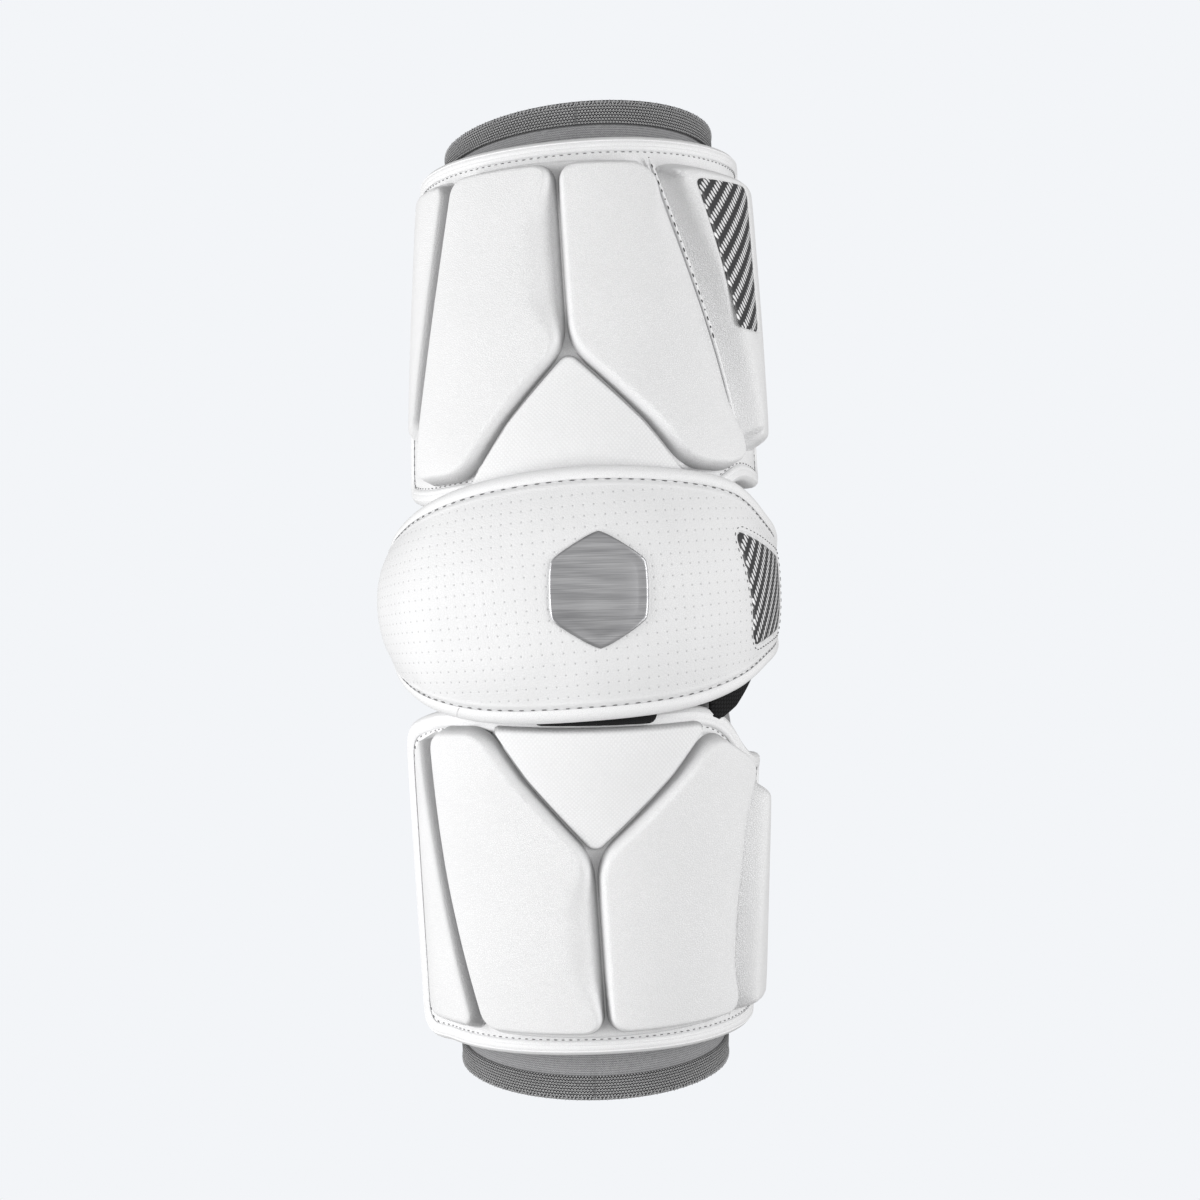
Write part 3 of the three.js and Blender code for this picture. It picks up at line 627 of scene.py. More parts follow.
def place_of(tree, scale, turn=0.0):
    """The flat place on a piece, scaled and turned."""
    uv = add(tree, "ShaderNodeUVMap", uv_map="flat")
    mapping = add(tree, "ShaderNodeMapping",
                  {"Vector": uv.outputs[0], "Scale": scale, "Rotation": (0, 0, turn)})
    return mapping.outputs[0]


def lanes_of(tree, width, length, turn=0.0):
    """Counts of repeats across and along a piece, for repeats of the given millimetres."""
    place = place_of(tree, (1 / (width * MM), 1 / (length * MM), 1), turn)
    parts = add(tree, "ShaderNodeSeparateXYZ", {"Vector": place})
    return parts.outputs[0], parts.outputs[1]


def attribute(tree, name):
    return add(tree, "ShaderNodeAttribute", attribute_name=name).outputs["Fac"]


def material(name, viewport):
    made = bpy.data.materials.new(name)
    made.use_nodes = True
    made.diffuse_color = viewport
    finishes[name] = made
    return made.node_tree


def surface(tree, inputs, relief, strength, depth):
    """Feeds a material's shader, and bumps it by a relief of the given depth in millimetres."""
    shader = tree.nodes["Principled BSDF"]
    for name, value in inputs.items():
        feed(tree, shader.inputs[name], value)
    bump = add(tree, "ShaderNodeBump", {"Height": relief, "Strength": strength, "Distance": depth * MM})
    feed(tree, shader.inputs["Normal"], bump.outputs[0])


def hide_grain_group():
    """Fine leather-like grain with broader unevenness."""
    tree = bpy.data.node_groups.new("hide grain", "ShaderNodeTree")
    for label, kind in (("Place", "Vector"), ("Grain Scale", "Float"), ("Mottle Scale", "Float")):
        tree.interface.new_socket(name=label, in_out="INPUT", socket_type="NodeSocket" + kind)
    for label in ("Height", "Mottle"):
        tree.interface.new_socket(name=label, in_out="OUTPUT", socket_type="NodeSocketFloat")
    given = tree.nodes.new("NodeGroupInput").outputs
    place, scale = given["Place"], given["Grain Scale"]
    cells = add(tree, "ShaderNodeTexVoronoi", {"Vector": place, "Scale": scale, "Randomness": 1.0},
                feature="DISTANCE_TO_EDGE")
    pores = between(tree, cells.outputs["Distance"], 0.0, 0.22)
    grain = sums(tree, "MULTIPLY_ADD", noise(tree, place, scale, 3.0), 0.5, pores)
    add(tree, "NodeGroupOutput", {"Height": grain, "Mottle": noise(tree, place, given["Mottle Scale"], 2.0)})
    return tree


hide_grain = hide_grain_group()


def grained(tree, scale):
    place = add(tree, "ShaderNodeTexCoord").outputs["Object"]
    node = add(tree, "ShaderNodeGroup", {"Place": place, "Grain Scale": scale, "Mottle Scale": 40},
               node_tree=hide_grain)
    return node.outputs["Height"], node.outputs["Mottle"]


def white_hide(name, roughness, grain=1400, strength=0.5, weave=0):
    """Coated white hide over foam, its grain like a fine weave where weave gives a pitch."""
    tree = material(name, WHITE)
    height, mottle = grained(tree, grain)
    if weave:
        lanes = lanes_of(tree, weave, weave, math.radians(45))
        waves = sums(tree, "MULTIPLY", *(off_middle(tree, lane) for lane in lanes))
        height = sums(tree, "MULTIPLY_ADD", height, 0.35, sums(tree, "MULTIPLY", waves, 4.0))
    uneven = blend_colours(tree, between(tree, mottle, 0.3, 0.7), WHITE_SHADE, WHITE)
    hide = blend_colours(tree, between(tree, height, 0.2, 1.1), darker(WHITE_SHADE, 0.93), uneven)
    # Painted shade: the hide is blended towards dark grey by the crease share that each piece marks at the
    # foot of its walls and in channels
    painted_shade = sums(tree, "MULTIPLY", attribute(tree, "crease_shade"), 0.6)
    surface(tree, {
        "Base Color": blend_colours(tree, painted_shade, hide, CREASE_SHADE),
        "Roughness": between(tree, mottle, 0.2, 0.8, roughness - 0.05, roughness + 0.05),
        "Specular IOR Level": HIDE_SPECULAR,
    }, height, strength, 0.2)


def perforated_hide(name):
    """White hide with a grid of pin holes, its rows rising to the right."""
    tree = material(name, COVER)
    height, mottle = grained(tree, 900)
    lanes = lanes_of(tree, 3.13, 3.27, PATTERN_TILT)
    reach = sums(tree, "SQRT", squares(tree, *(within_repeat(tree, lane) for lane in lanes)))
    field = attribute(tree, "field")
    hole = sums(tree, "MULTIPLY", between(tree, reach, 0.05, 0.115, 0.5, 0.0), field)
    leather = blend_colours(tree, between(tree, mottle, 0.3, 0.7), COVER_SHADE, COVER)
    dimple = sums(tree, "MULTIPLY_ADD", between(tree, reach, 0.04, 0.2), field,
                  sums(tree, "MULTIPLY", height, 0.5))
    surface(tree, {
        "Base Color": blend_colours(tree, hole, leather, PIN_HOLE),
        "Roughness": 0.5,
        "Specular IOR Level": HIDE_SPECULAR,
    }, dimple, 0.4, 0.3)


def twill_patch(name):
    """Dark woven patch with glossy white floats in diagonal bands."""
    lane, length, shift = 1.55, 5.04, 0.52
    half_width, half_length = 0.58, 1.6
    tree = material(name, grey(0.3, 0.3))
    across, along = lanes_of(tree, 1, 1, -math.atan2(3, 4))
    lanes = sums(tree, "DIVIDE", across, lane)
    x = sums(tree, "MULTIPLY", within_repeat(tree, lanes), lane / half_width)
    start = sums(tree, "MULTIPLY", sums(tree, "FLOOR", lanes), shift)
    place = sums(tree, "DIVIDE", sums(tree, "SUBTRACT", along, start), length)
    y = sums(tree, "MULTIPLY", within_repeat(tree, place), length / half_length)
    floats = between(tree, squares(tree, x, y), 0.5, 1.1, 1.0, 0.0)
    surface(tree, {
        "Base Color": blend_colours(tree, floats, grey(0.03, 0.032), grey(0.88, 0.885)),
        "Roughness": between(tree, floats, 0, 1, 0.55, 0.28),
        "Coat Weight": 0.2,
    }, floats, 0.6, 0.4)


def brushed_film(name):
    tree = material(name, grey(0.6, 0.61))
    streaks = noise(tree, place_of(tree, (60, 2600, 1), PATTERN_TILT), 1.0, 3.0)
    broad = noise(tree, place_of(tree, (30, 300, 1)), 1.0, 1.0)
    tone = sums(tree, "MULTIPLY_ADD", broad, 0.5, sums(tree, "MULTIPLY", streaks, 0.5))
    surface(tree, {
        "Base Color": blend_colours(tree, between(tree, tone, 0.3, 0.7), grey(0.30, 0.31), grey(0.62, 0.63)),
        "Metallic": 0.85,
        "Roughness": between(tree, tone, 0.3, 0.7, 0.42, 0.3),
    }, streaks, 0.25, 0.1)


def knit(name):
    """Grey jersey: columns of small V stitches in a flecked yarn."""
    column, course, slope = 1.1, 0.9, 1.4
    tree = material(name, grey(0.3, 0.3))
    across, along = lanes_of(tree, column, course)
    half = off_middle(tree, across)
    yarn = off_middle(tree, sums(tree, "ADD", along, sums(tree, "MULTIPLY", half, slope)))
    loops = between(tree, yarn, 0.1, 0.45, 1.0, 0.0)
    valley = between(tree, half, 0.0, 0.12)
    groove = between(tree, half, 0.38, 0.5, 1.0, 0.0)
    height = sums(tree, "MULTIPLY", sums(tree, "MULTIPLY", loops, valley), groove)
    fleck = noise(tree, place_of(tree, (900, 500, 1)), 1.0, 2.0)
    tone = sums(tree, "MULTIPLY_ADD", height, 0.55, sums(tree, "MULTIPLY", fleck, 0.45))
    surface(tree, {
        "Base Color": blend_colours(tree, between(tree, tone, 0.1, 0.8), grey(0.19, 0.195), grey(0.46, 0.47)),
        "Roughness": 0.9,
        "Sheen Weight": 0.25,
    }, height, 0.5, 0.4)


def ribbed_elastic(name):
    """Elastic webbing: narrow rows of pale zigzag thread on dark rubber."""
    row, tooth, steepness = CUFF_BAND / 8.5, 1.5, 1.3
    tree = material(name, grey(0.25, 0.25))
    across, along = lanes_of(tree, 1, row)
    teeth = sums(tree, "MULTIPLY_ADD", every_other(tree, along), 0.5, sums(tree, "DIVIDE", across, tooth))
    in_row = sums(tree, "MULTIPLY_ADD", off_middle(tree, teeth), steepness, along)
    height = between(tree, off_middle(tree, in_row), 0.06, 0.25, 1.0, 0.0)
    surface(tree, {
        "Base Color": blend_colours(tree, height, grey(0.008, 0.009), grey(0.64, 0.645)),
        "Roughness": 0.8,
        "Sheen Weight": 0.15,
    }, height, 0.7, 0.4)


def black_webbing(name, thread, row, sheen):
    """Black tape woven in ladders of short rungs."""
    tree = material(name, grey(0.02, 0.02))
    across, along = lanes_of(tree, row, thread)
    rung = sums(tree, "ADD", along, sums(tree, "MULTIPLY", every_other(tree, across), 0.5))
    height = sums(tree, "MULTIPLY", between(tree, off_middle(tree, across), 0.25, 0.5, 1.0, 0.0),
                  between(tree, off_middle(tree, rung), 0.2, 0.5, 1.0, 0.0))
    surface(tree, {
        "Base Color": blend_colours(tree, height, grey(0.003, 0.003), grey(0.018, 0.019)),
        "Roughness": 0.75,
        "Sheen Weight": sheen,
        "Specular IOR Level": 0.15,
    }, height, 0.6, 0.4)


def thread_finish(name, colour):
    tree = material(name, colour)
    place = add(tree, "ShaderNodeTexCoord").outputs["Object"]
    twist = add(tree, "ShaderNodeTexWave", {"Vector": place, "Scale": 900.0, "Distortion": 1.0},
                wave_type="BANDS", bands_direction="DIAGONAL").outputs["Fac"]
    surface(tree, {
        "Base Color": blend_colours(tree, twist, darker(colour, 0.6), colour),
        "Roughness": 0.6,
    }, twist, 0.3, 0.1)


white_hide("white_skin", 0.52)
white_hide("white_mesh", 0.55, weave=1.1)
white_hide("white_tape", 0.45, 1500, 0.2)
perforated_hide("perforated_cover")
twill_patch("woven_patch")
brushed_film("silver_film")
knit("grey_knit")
ribbed_elastic("grey_elastic")
black_webbing("black_webbing", 1.3, 1.6, 0.02)
black_webbing("black_loops", 0.6, 0.6, 0.08)
thread_finish("grey_thread", grey(0.2, 0.205))
thread_finish("pale_thread", grey(0.5, 0.51))
thread_finish("black_thread", grey(0.03, 0.031))


# Stitches

def one_stitch():
    """A short round-ended stitch, one unit long each way."""
    bpy.ops.object.select_all(action="DESELECT")
    bpy.ops.mesh.primitive_uv_sphere_add(segments=6, ring_count=4, radius=1)
    ball = bpy.context.object
    bpy.ops.object.mode_set(mode="EDIT")
    bpy.ops.mesh.select_all(action="SELECT")
    bpy.ops.transform.rotate(value=math.pi / 2, orient_axis="Y", center_override=(0, 0, 0))
    bpy.ops.object.mode_set(mode="OBJECT")
    places = np.array([corner.co[:] for corner in ball.data.vertices])
    faces = [tuple(face.vertices) for face in ball.data.polygons]
    bpy.data.objects.remove(ball)
    return places, faces


stitch_places, stitch_faces = one_stitch()
GOLDEN_SHARE = 0.618


def stitches(name, path, pitch, length, width, height, closed=True, thread="grey_thread",
             slot="white_tape", slant=0.0, rise=0.25, place=on_arm, uneven=0.2):
    """Dashes of thread along a flat path, each lying on the surface at the given height."""
    marks = evenly(path, pitch, closed)
    ahead = np.gradient(marks, axis=0)
    if closed:
        ahead = np.roll(marks, -1, axis=0) - np.roll(marks, 1, axis=0)
    ahead = unit(ahead)
    if slant:
        turn = math.radians(slant)
        ahead = ahead @ np.array([[math.cos(turn), math.sin(turn)], [-math.sin(turn), math.cos(turn)]])
    level = height(*marks.T) if callable(height) else np.full(len(marks), float(height))
    middle = place(*marks.T, level)
    along = unit(place(*(marks + ahead * 0.5).T, level) - middle)
    up = unit(place(*marks.T, level + 1) - middle)
    side = np.cross(up, along)
    places, faces, flats = [], [], []
    for index in range(len(marks)):
        longer = 1 + uneven * (2 * (index * GOLDEN_SHARE % 1) - 1)
        axes = np.stack([along[index] * length * longer / 2, side[index] * width / 2, up[index] * rise])
        start = len(places) * len(stitch_places)
        places.append(middle[index] + stitch_places @ axes * MM)
        faces += [tuple(corner + start for corner in face) for face in stitch_faces]
        flats.append(np.tile(marks[index], (len(stitch_places), 1)))
    piece = shown(name, np.vstack(places), faces, np.vstack(flats), 80)
    return dress(piece, thread, slot)


# Sleeve and cuffs

def tube(name, profile, steps, shape=None):
    """A closed profile of heights and places along the arm, turned round it."""
    around = np.arange(steps) / steps * 2 * math.pi * drawing_radius
    rings, flats = [], []
    for height, along in profile:
        level = np.full(steps, float(height))
        place = rim_place(around, np.full(steps, float(along)))
        if shape:
            level = level + shape(around, place)
        rings.append(on_arm(around, place, level))
        flats.append(np.column_stack([around, np.full(steps, float(along))]))
    return ringed(name, rings, flats)


def gathers(around, along):
    """Soft folds across the inner bend, clear of the strap, and a waist below the strap's end."""
    turn = (around / drawing_radius) % (2 * math.pi)
    back = smoothstep(np.abs(turn - math.pi), 1.35, 0.55)
    near = np.exp(-(along / 46) ** 2) * smoothstep(np.abs(along), STRAP_WIDTH / 2 - 2, STRAP_WIDTH / 2 + 8)
    wave = np.sin(along / 2.9 + 1.3 * np.sin(around / 31) + 0.6 * np.sin(around / 13 + along / 23))
    fine = np.sin(along / 1.7 + around / 19) * 0.35
    from_waist = np.abs(turn - math.radians(WAIST_ANGLE))
    waist = smoothstep(-from_waist, -0.8, -0.3) * np.exp(-((along - WAIST_PLACE) / WAIST_HALF) ** 2)
    return back * near * (0.55 * wave + 0.25 * fine - 0.35) - WAIST_DEPTH * waist


def build_sleeve():
    ends = (top_rim - CUFF_STEP, bottom_rim + CUFF_STEP)
    rows = np.linspace(ends[1], ends[0], 190)
    profile = [(0.0, along) for along in rows] + [(-SLEEVE_WALL, along) for along in rows[::-1]]
    sleeve = tube("knit_sleeve", profile, 220, gathers)
    dress(sleeve, "grey_knit", "grey_knit", "sleeve")


def build_cuff(name, node, rim):
    """Elastic turned over the sleeve's end, its outside ribbed round the arm."""
    side = math.copysign(1, rim)
    rib_count, steps_per_rib, rib_height = 9, 5, 0.17
    foot = SEAT * 0.6
    outer = []
    for share in np.linspace(0, 1, rib_count * steps_per_rib + 1):
        rib = rib_height * abs(math.sin(math.pi * share * rib_count)) ** 0.7
        outer.append((SEAT + TAPE - rib_height + rib, (CUFF_BAND - 0.3) * (1 - share) + 0.15))
    profile = [
        (-SLEEVE_WALL, CUFF_STEP - SEAT), (foot, CUFF_STEP - SEAT), (foot, CUFF_BAND - 0.2), *outer,
        (0.7, 0), (0.5 - SLEEVE_WALL, 0), (-SLEEVE_WALL, 0.4),
    ]
    cuff = tube(name, [(height, rim - side * back) for height, back in profile], 260)
    dress(cuff, "grey_elastic", "grey_elastic", node)


def on_rim(around, along, height):
    return on_arm(around, rim_place(around, along), height)


def whip_stitches(name, rim):
    """Slanted thread round a cuff's rim."""
    pitch, from_rim = 1.9, 0.9
    around = np.linspace(0, 2 * math.pi * drawing_radius, 400, endpoint=False)
    edge = np.column_stack([around, np.full(400, rim - math.copysign(from_rim, rim))])
    stitches(name, evenly(edge, pitch, closed=False), pitch, 2.0, 0.5, SEAT + TAPE + 0.05, closed=False,
             thread="pale_thread", slot="grey_elastic", slant=62, rise=0.3, place=on_rim)


# Panels, skins and blocks

def seam_path(rows, place):
    """A smooth open line through rows of degrees and shares."""
    path = evenly([[angle * per_degree, place(share)] for angle, share in rows], LINE_STEP, closed=False)
    for _ in range(12):
        path[1:-1] = 0.5 * path[1:-1] + 0.25 * (path[:-2] + path[2:])
    return path


def bead(name, path, width, rise, level, place=on_arm):
    """A rolled edge along an open path, thin at its ends."""
    ahead = unit(np.gradient(path, axis=0))
    side = np.column_stack([-ahead[:, 1], ahead[:, 0]])
    share = np.linspace(0, 1, len(path))
    full = np.sqrt(smoothstep(share, 0, 0.03) * smoothstep(-share, -1, -0.97)) * 0.95 + 0.05
    sides, count = 8, len(path)
    rings, flats = [], []
    for turn in np.arange(sides) * 2 * math.pi / sides:
        ring = path + side * (full * width / 2 * math.cos(turn))[:, None]
        rings.append(place(*ring.T, level + rise * full * math.sin(turn)))
        flats.append(ring)
    faces = [tuple(k * count for k in range(sides))[::-1],
             tuple(k * count + count - 1 for k in range(sides))]
    for k in range(sides):
        start, beside = k * count, (k + 1) % sides * count
        for i in range(count - 1):
            faces.append((start + i, start + i + 1, beside + i + 1, beside + i))
    places = np.vstack(rings)
    piece = shown(name, places, outward(places, faces), np.vstack(flats), 80)
    dress(piece, "white_tape", "white_skin")


def build_seams():
    """The sewn edges between the centre blocks and the right side blocks."""
    upper = seam_path([(24.7, 0.935), (31.9, 0.770), (50.4, 0.340), (61, 0.066)], upper_place)
    bead("upper_seam_edge", upper, 1.5, 0.85, skin_top + 0.5)
    sewn_share = 0.62
    sewn = upper[:int(len(upper) * sewn_share)]
    stitches("upper_seam_stitches", sewn + [-0.3, 0], 3.3, 1.3, 0.6, skin_top + 1.3, closed=False,
             thread="black_thread", slot="white_skin", uneven=0.7)
    lower = seam_path([(63.9, 0.190), (56.9, 0.600), (54.7, 0.918)], lower_place)
    bead("lower_seam_edge", lower, 1.3, 0.8, skin_top + 0.4)


def build_panel(name, rows, place):
    """Foam with a rounded edge, the tape rolled over it and the stitches beside the tape."""
    edge_radius = 1.2
    loop = outline(rows, place)
    foam = outline(rows, place, TAPE + SEAT)
    corners, faces = fill(foam, [0.3, 0.7, edge_radius, 3, 5], PANEL_GRID)
    depth, _ = edge_distance(corners, foam)
    rounding = edge_radius * (1 - np.sqrt(1 - (1 - np.clip(depth / edge_radius, 0, 1)) ** 2))
    off = flare(*corners.T)
    panel = solid(f"{name}_foam_panel", corners, faces, panel_top - rounding + off, SEAT + off)
    dress(panel, "white_skin", "white_skin", f"{name}_panel", fill_share=0.8)
    profile = [
        (1.1, 0.9), (0.45, 0.7), (0.05, 1.5), (0.0, 3.5), (0.0, 6.5), (0.25, 8.4), (0.8, 9.6), (1.6, 10.3),
        (2.0, 10.62), (2.35, 10.4), (3.0, 10.68), (3.9, 10.7), (4.3, 10.42), (4.75, 10.6), (5.2, 10.5),
        (5.7, 10.15), (PANEL_TAPE_LIP, 9.75), (5.8, 9.5), (4.2, 9.45), (2.2, 9.45), (1.3, 8.6), (1.1, 6.0),
    ]
    tape = swept(f"{name}_rolled_tape", loop, profile, lambda x, y, h: h + flare(x, y), 4)
    dress(tape, "white_tape", "white_tape", f"{name}_binding")
    seam = follow(loop, PANEL_TAPE_LIP + 0.5, 4)
    stitches(f"{name}_tape_stitches", seam, 3.1, 1.35, 0.42, lambda x, y: panel_top + 0.1 + flare(x, y))


def build_skin(name, rows, place, node):
    """The thin sewn skin under the centre blocks, with shade painted on where they leave channels."""
    loop = outline(rows, place, SKIN_INSET)
    corners, faces = fill(loop, [0.4, 0.9, 1.5, 3], PANEL_GRID)
    depth, _ = edge_distance(corners, loop)
    top = panel_top + 0.15 + (skin_top - panel_top - 0.15) * moulded(depth, 1.6, 1.0, 2.0)
    skin = solid(name, corners, faces, top, panel_top + TOUCH)
    # Painted shade: the skin is marked darker away from its edge, where it shows in the channels between the
    # blocks
    mark(skin, "crease_shade", 0.3 * smoothstep(depth, 1.5, 4), 1)
    dress(skin, "white_skin", "white_skin", node)


def soft_share(loop, corners, away):
    """1 beside a block's straight right side, and nothing near that side's ends or elsewhere."""
    right_side = loop[-inwards(loop)[0][:, 0] > 0.9, 1]
    from_ends = np.minimum(corners[:, 1] - right_side.min(), right_side.max() - corners[:, 1])
    return smoothstep(-away[:, 0], 0.6, 0.97) * smoothstep(from_ends, -2, 22)


def build_block(name, rows, place, node, crown, width, soft_width, swell):
    """A moulded block. Where soft_width isn't 0, its wall on the right is as wide as that."""
    loop = outline(rows, place, BLOCK_INSET, FINE_STEP)
    corners, faces = fill(loop, WIDE_WALL_RINGS if soft_width else WALL_RINGS, BLOCK_GRID)
    depth, away = edge_distance(corners, loop)
    soft = soft_share(loop, corners, away) if soft_width else 0
    width = width + (soft_width - width) * soft
    foot = skin_top + TOUCH
    top = foot + 0.08 + (crown - swell - foot) * moulded(depth, width, 1.25 - 0.2 * soft, 2.3 - 0.8 * soft)
    top += swell * (1 - np.exp(-depth / SWELL_REACH))
    block = solid(name, corners, faces, top, foot, smooth=70)
    # Painted shade at the foot of the block's walls, darkest at its edge
    mark(block, "crease_shade", np.exp(-depth ** 2), 1)
    dress(block, "white_mesh" if "wedge" in node else "white_skin", "white_skin", node, fill_share=0.9)


def pocket_depth(corners, pocket):
    """How far a patch's pocket sinks each corner, and each corner's depth within the pocket's line."""
    near, _ = edge_distance(corners, pocket)
    within = np.where(inside(corners, pocket), near, -near)
    return POCKET_SINK * smoothstep(within, -0.55, 0.45), within


def build_wing(name, rows, place, node, height, fall, walls, crease_shade, inlay_rows):
    """A side block. It falls by a share between two angles, given as start, end and share, and
    walls are the widths of its front wall and the others. The crease argument sets how much shade
    is painted at the foot of its front wall. Returns the level of a patch's face."""
    def level(around, along):
        start, end, share = fall
        return wing_foot + height * (1 - share * smoothstep(np.abs(around) / per_degree, start, end))

    loop = outline(rows, place, WING_INSET, FINE_STEP)
    inner = []
    if inlay_rows:
        pocket = outline(inlay_rows, place, -POCKET_EASE, FINE_STEP)
        inner = [(pocket, POCKET_RINGS)]
    corners, faces = fill(loop, WIDE_WALL_RINGS, BLOCK_GRID, inner)
    depth, away = edge_distance(corners, loop)
    facing = np.clip(away[:, 0] * np.sign(corners[:, 0]), 0, 1)
    steep = smoothstep(facing, 0.25, 0.95)
    width = walls[1] + (walls[0] - walls[1]) * steep
    hollow = 1.15 + (1.1 * steep if inlay_rows is UPPER_INLAY else 0)
    rise = level(*corners.T) - wing_foot + SEAT - 0.6 + 0.5 * (1 - np.exp(-depth / SWELL_REACH))
    top = panel_top + TOUCH + 0.1 + rise * moulded(depth, width, hollow, 2.2)
    if inlay_rows:
        top -= pocket_depth(corners, pocket)[0]
    off = 0.35 * flare(*corners.T)
    wing = solid(name, corners, faces, top + off, panel_top + TOUCH + off, smooth=70)
    # Painted shade at the foot of the front wall, darkest at its edge
    darkness = crease_shade * smoothstep(facing, 0.3, 0.8) * np.exp(-(depth / (1 + crease_shade)) ** 2)
    mark(wing, "crease_shade", darkness, 1)
    dress(wing, "white_skin", "white_skin", node, fill_share=0.9)
    return level


def build_inlay(name, rows, place, node, level, lay=on_arm):
    """A woven patch, sunk in its pocket below the given level."""
    loop = outline(rows, place, INLAY_INSET, FINE_STEP)
    corners, faces = fill(loop, [0.3, 0.8, 2.0], BLOCK_GRID)
    depth, _ = edge_distance(corners, loop)
    foot = level(*corners.T) - 0.72
    top = foot + 0.42 * moulded(depth, 0.8, 1.0, 2.0) + 0.08
    patch = solid(name, corners, faces, top, foot, place=lay)
    dress(patch, "woven_patch", "woven_patch", node)


def build_blocks():
    """The centre blocks, each with its crown, its wall's width, its soft wall's and its swell."""
    for where, rows, crown, wall, soft_wall, swell in (
        ("upper_left", UPPER_LEFT_BLOCK, block_crown, 3.0, 13, 0.5),
        ("upper_right", UPPER_RIGHT_BLOCK, block_crown, 3.1, 12, 0.5),
        ("upper_wedge", UPPER_WEDGE, wedge_crown, 1.8, 0, 0.3),
        ("lower_left", LOWER_LEFT_BLOCK, block_crown, 3.0, 11, 0.5),
        ("lower_right", LOWER_RIGHT_BLOCK, block_crown, 3.1, 9, 0.5),
        ("lower_wedge", LOWER_WEDGE, wedge_crown, 1.8, 0, 0.3),
    ):
        place = upper_place if where.startswith("upper") else lower_place
        node = where if where.endswith("wedge") else where + "_block"
        build_block(where + "_pad", rows, place, node, crown, wall, soft_wall, swell)


def build_wings():
    """The side blocks, each with its height, fall, walls and the strength of the shade painted in its crease,
    and the right ones' patches.
    """
    for where, rows, height, fall, walls, crease_shade, inlay_rows in (
        ("upper_left", UPPER_LEFT_WING, LEFT_WING, (58, 82, 0.7), (2.4, 5), 1.0, None),
        ("lower_left", LOWER_LEFT_WING, LEFT_WING, (60, 80, 0.55), (2.4, 5), 1.2, None),
        ("upper_right", UPPER_RIGHT_WING, RIGHT_WING, (56, 90, 0.5), (9.5, 6), 0.5, UPPER_INLAY),
        ("lower_right", LOWER_RIGHT_WING, RIGHT_WING, (56, 90, 0.5), (8, 6), 0.1, LOWER_INLAY),
    ):
        half = where.split("_")[0]
        place = upper_place if half == "upper" else lower_place
        level = build_wing(where + "_side_pad", rows, place, where + "_wing", height, fall, walls,
                           crease_shade, inlay_rows)
        if inlay_rows:
            build_inlay(half + "_woven_patch", inlay_rows, place, half + "_inlay", level)


# Elbow cap

def cap_foot(around):
    share = 1 - smoothstep(np.abs(around) / per_degree, CAP_FRONT_REACH, CAP_SIDE_REACH)
    return cap_side + (cap_front - cap_side) * share


def cap_crown(around, along):
    """The dome's height over the cap, full in the middle and nothing at its edge."""
    reach = np.clip(around / per_degree / CAP_REACH, -1, 1)
    rise = np.interp(reach, cap_reach, cap_rise) * CAP_RISE
    drop = np.interp(reach, cap_reach, cap_drop) * CAP_DROP
    edge = np.where(along < 0, drop, rise)
    spread = np.clip(np.abs(along) / np.maximum(edge, 1), 0, 1)
    dome = CAP_DOME - CAP_LEAN * np.sin(around / drawing_radius)
    return dome * (1 - spread ** CROWN_ACROSS) * (1 - np.abs(reach) ** CROWN_ROUND)


def cap_lift(around, along, height):
    """The height above the sleeve of a height above the cap's inside."""
    share = np.clip(height / CAP_EDGE, 0, 1)
    return height + cap_foot(around) + cap_crown(around, along) * share


def on_cap(around, along, height):
    return on_arm(around, along, cap_lift(around, along, height))


def puckers(corners, depth):
    """Slight pulls of the cover along its stitched edge, most at the lower left."""
    low_left = smoothstep(-corners[:, 1], 5, 25) * smoothstep(-corners[:, 0], 5, 40)
    wave = np.sin(corners[:, 0] / 2.6 + np.sin(corners[:, 1] / 5)) * np.sin(corners[:, 0] / 7.1 + 1)
    return (0.06 + 0.2 * low_left) * wave * smoothstep(depth, 2, 4) * smoothstep(-depth, -13, -5)


def build_cap_body():
    """The domed cap, with a stitched groove and a bead inside its edge and a pocket on its right."""
    groove, roll = 2.95, 4.4
    edge = cap_outline(TAPE + SEAT)
    pocket = outline(CAP_INLAY, cap_place, -POCKET_EASE, FINE_STEP)
    rings = [0.5, 1.2, 2.0, 2.45, groove, 3.45, 3.95, roll, 4.85, 5.3, 6, 7, 8, 9.5, 11.5]
    corners, faces = fill(edge, rings, 3.0, [(pocket, POCKET_RINGS)])
    depth, _ = edge_distance(corners, edge)
    sink, within = pocket_depth(corners, pocket)
    top = CAP_EDGE - 0.5 + 0.55 * moulded(depth, 3.0, 1.0, 2.0) - sink
    top -= 0.45 * np.exp(-((depth - groove) / 0.5) ** 2)
    top += 0.3 * np.exp(-((depth - roll) / 0.45) ** 2)
    top += 0.25 * smoothstep(depth, 5, 12) + puckers(corners, depth)
    cap = solid("perforated_cap", corners, faces, top, 0.0, place=on_cap, smooth=60)
    field = smoothstep(depth, 5.0, 5.6) * (1 - smoothstep(within, -2.2, -1.6))
    mark(cap, "field", field, 0)
    dress(cap, "perforated_cover", "perforated_cover", "elbow_cap", fill_share=0.7)


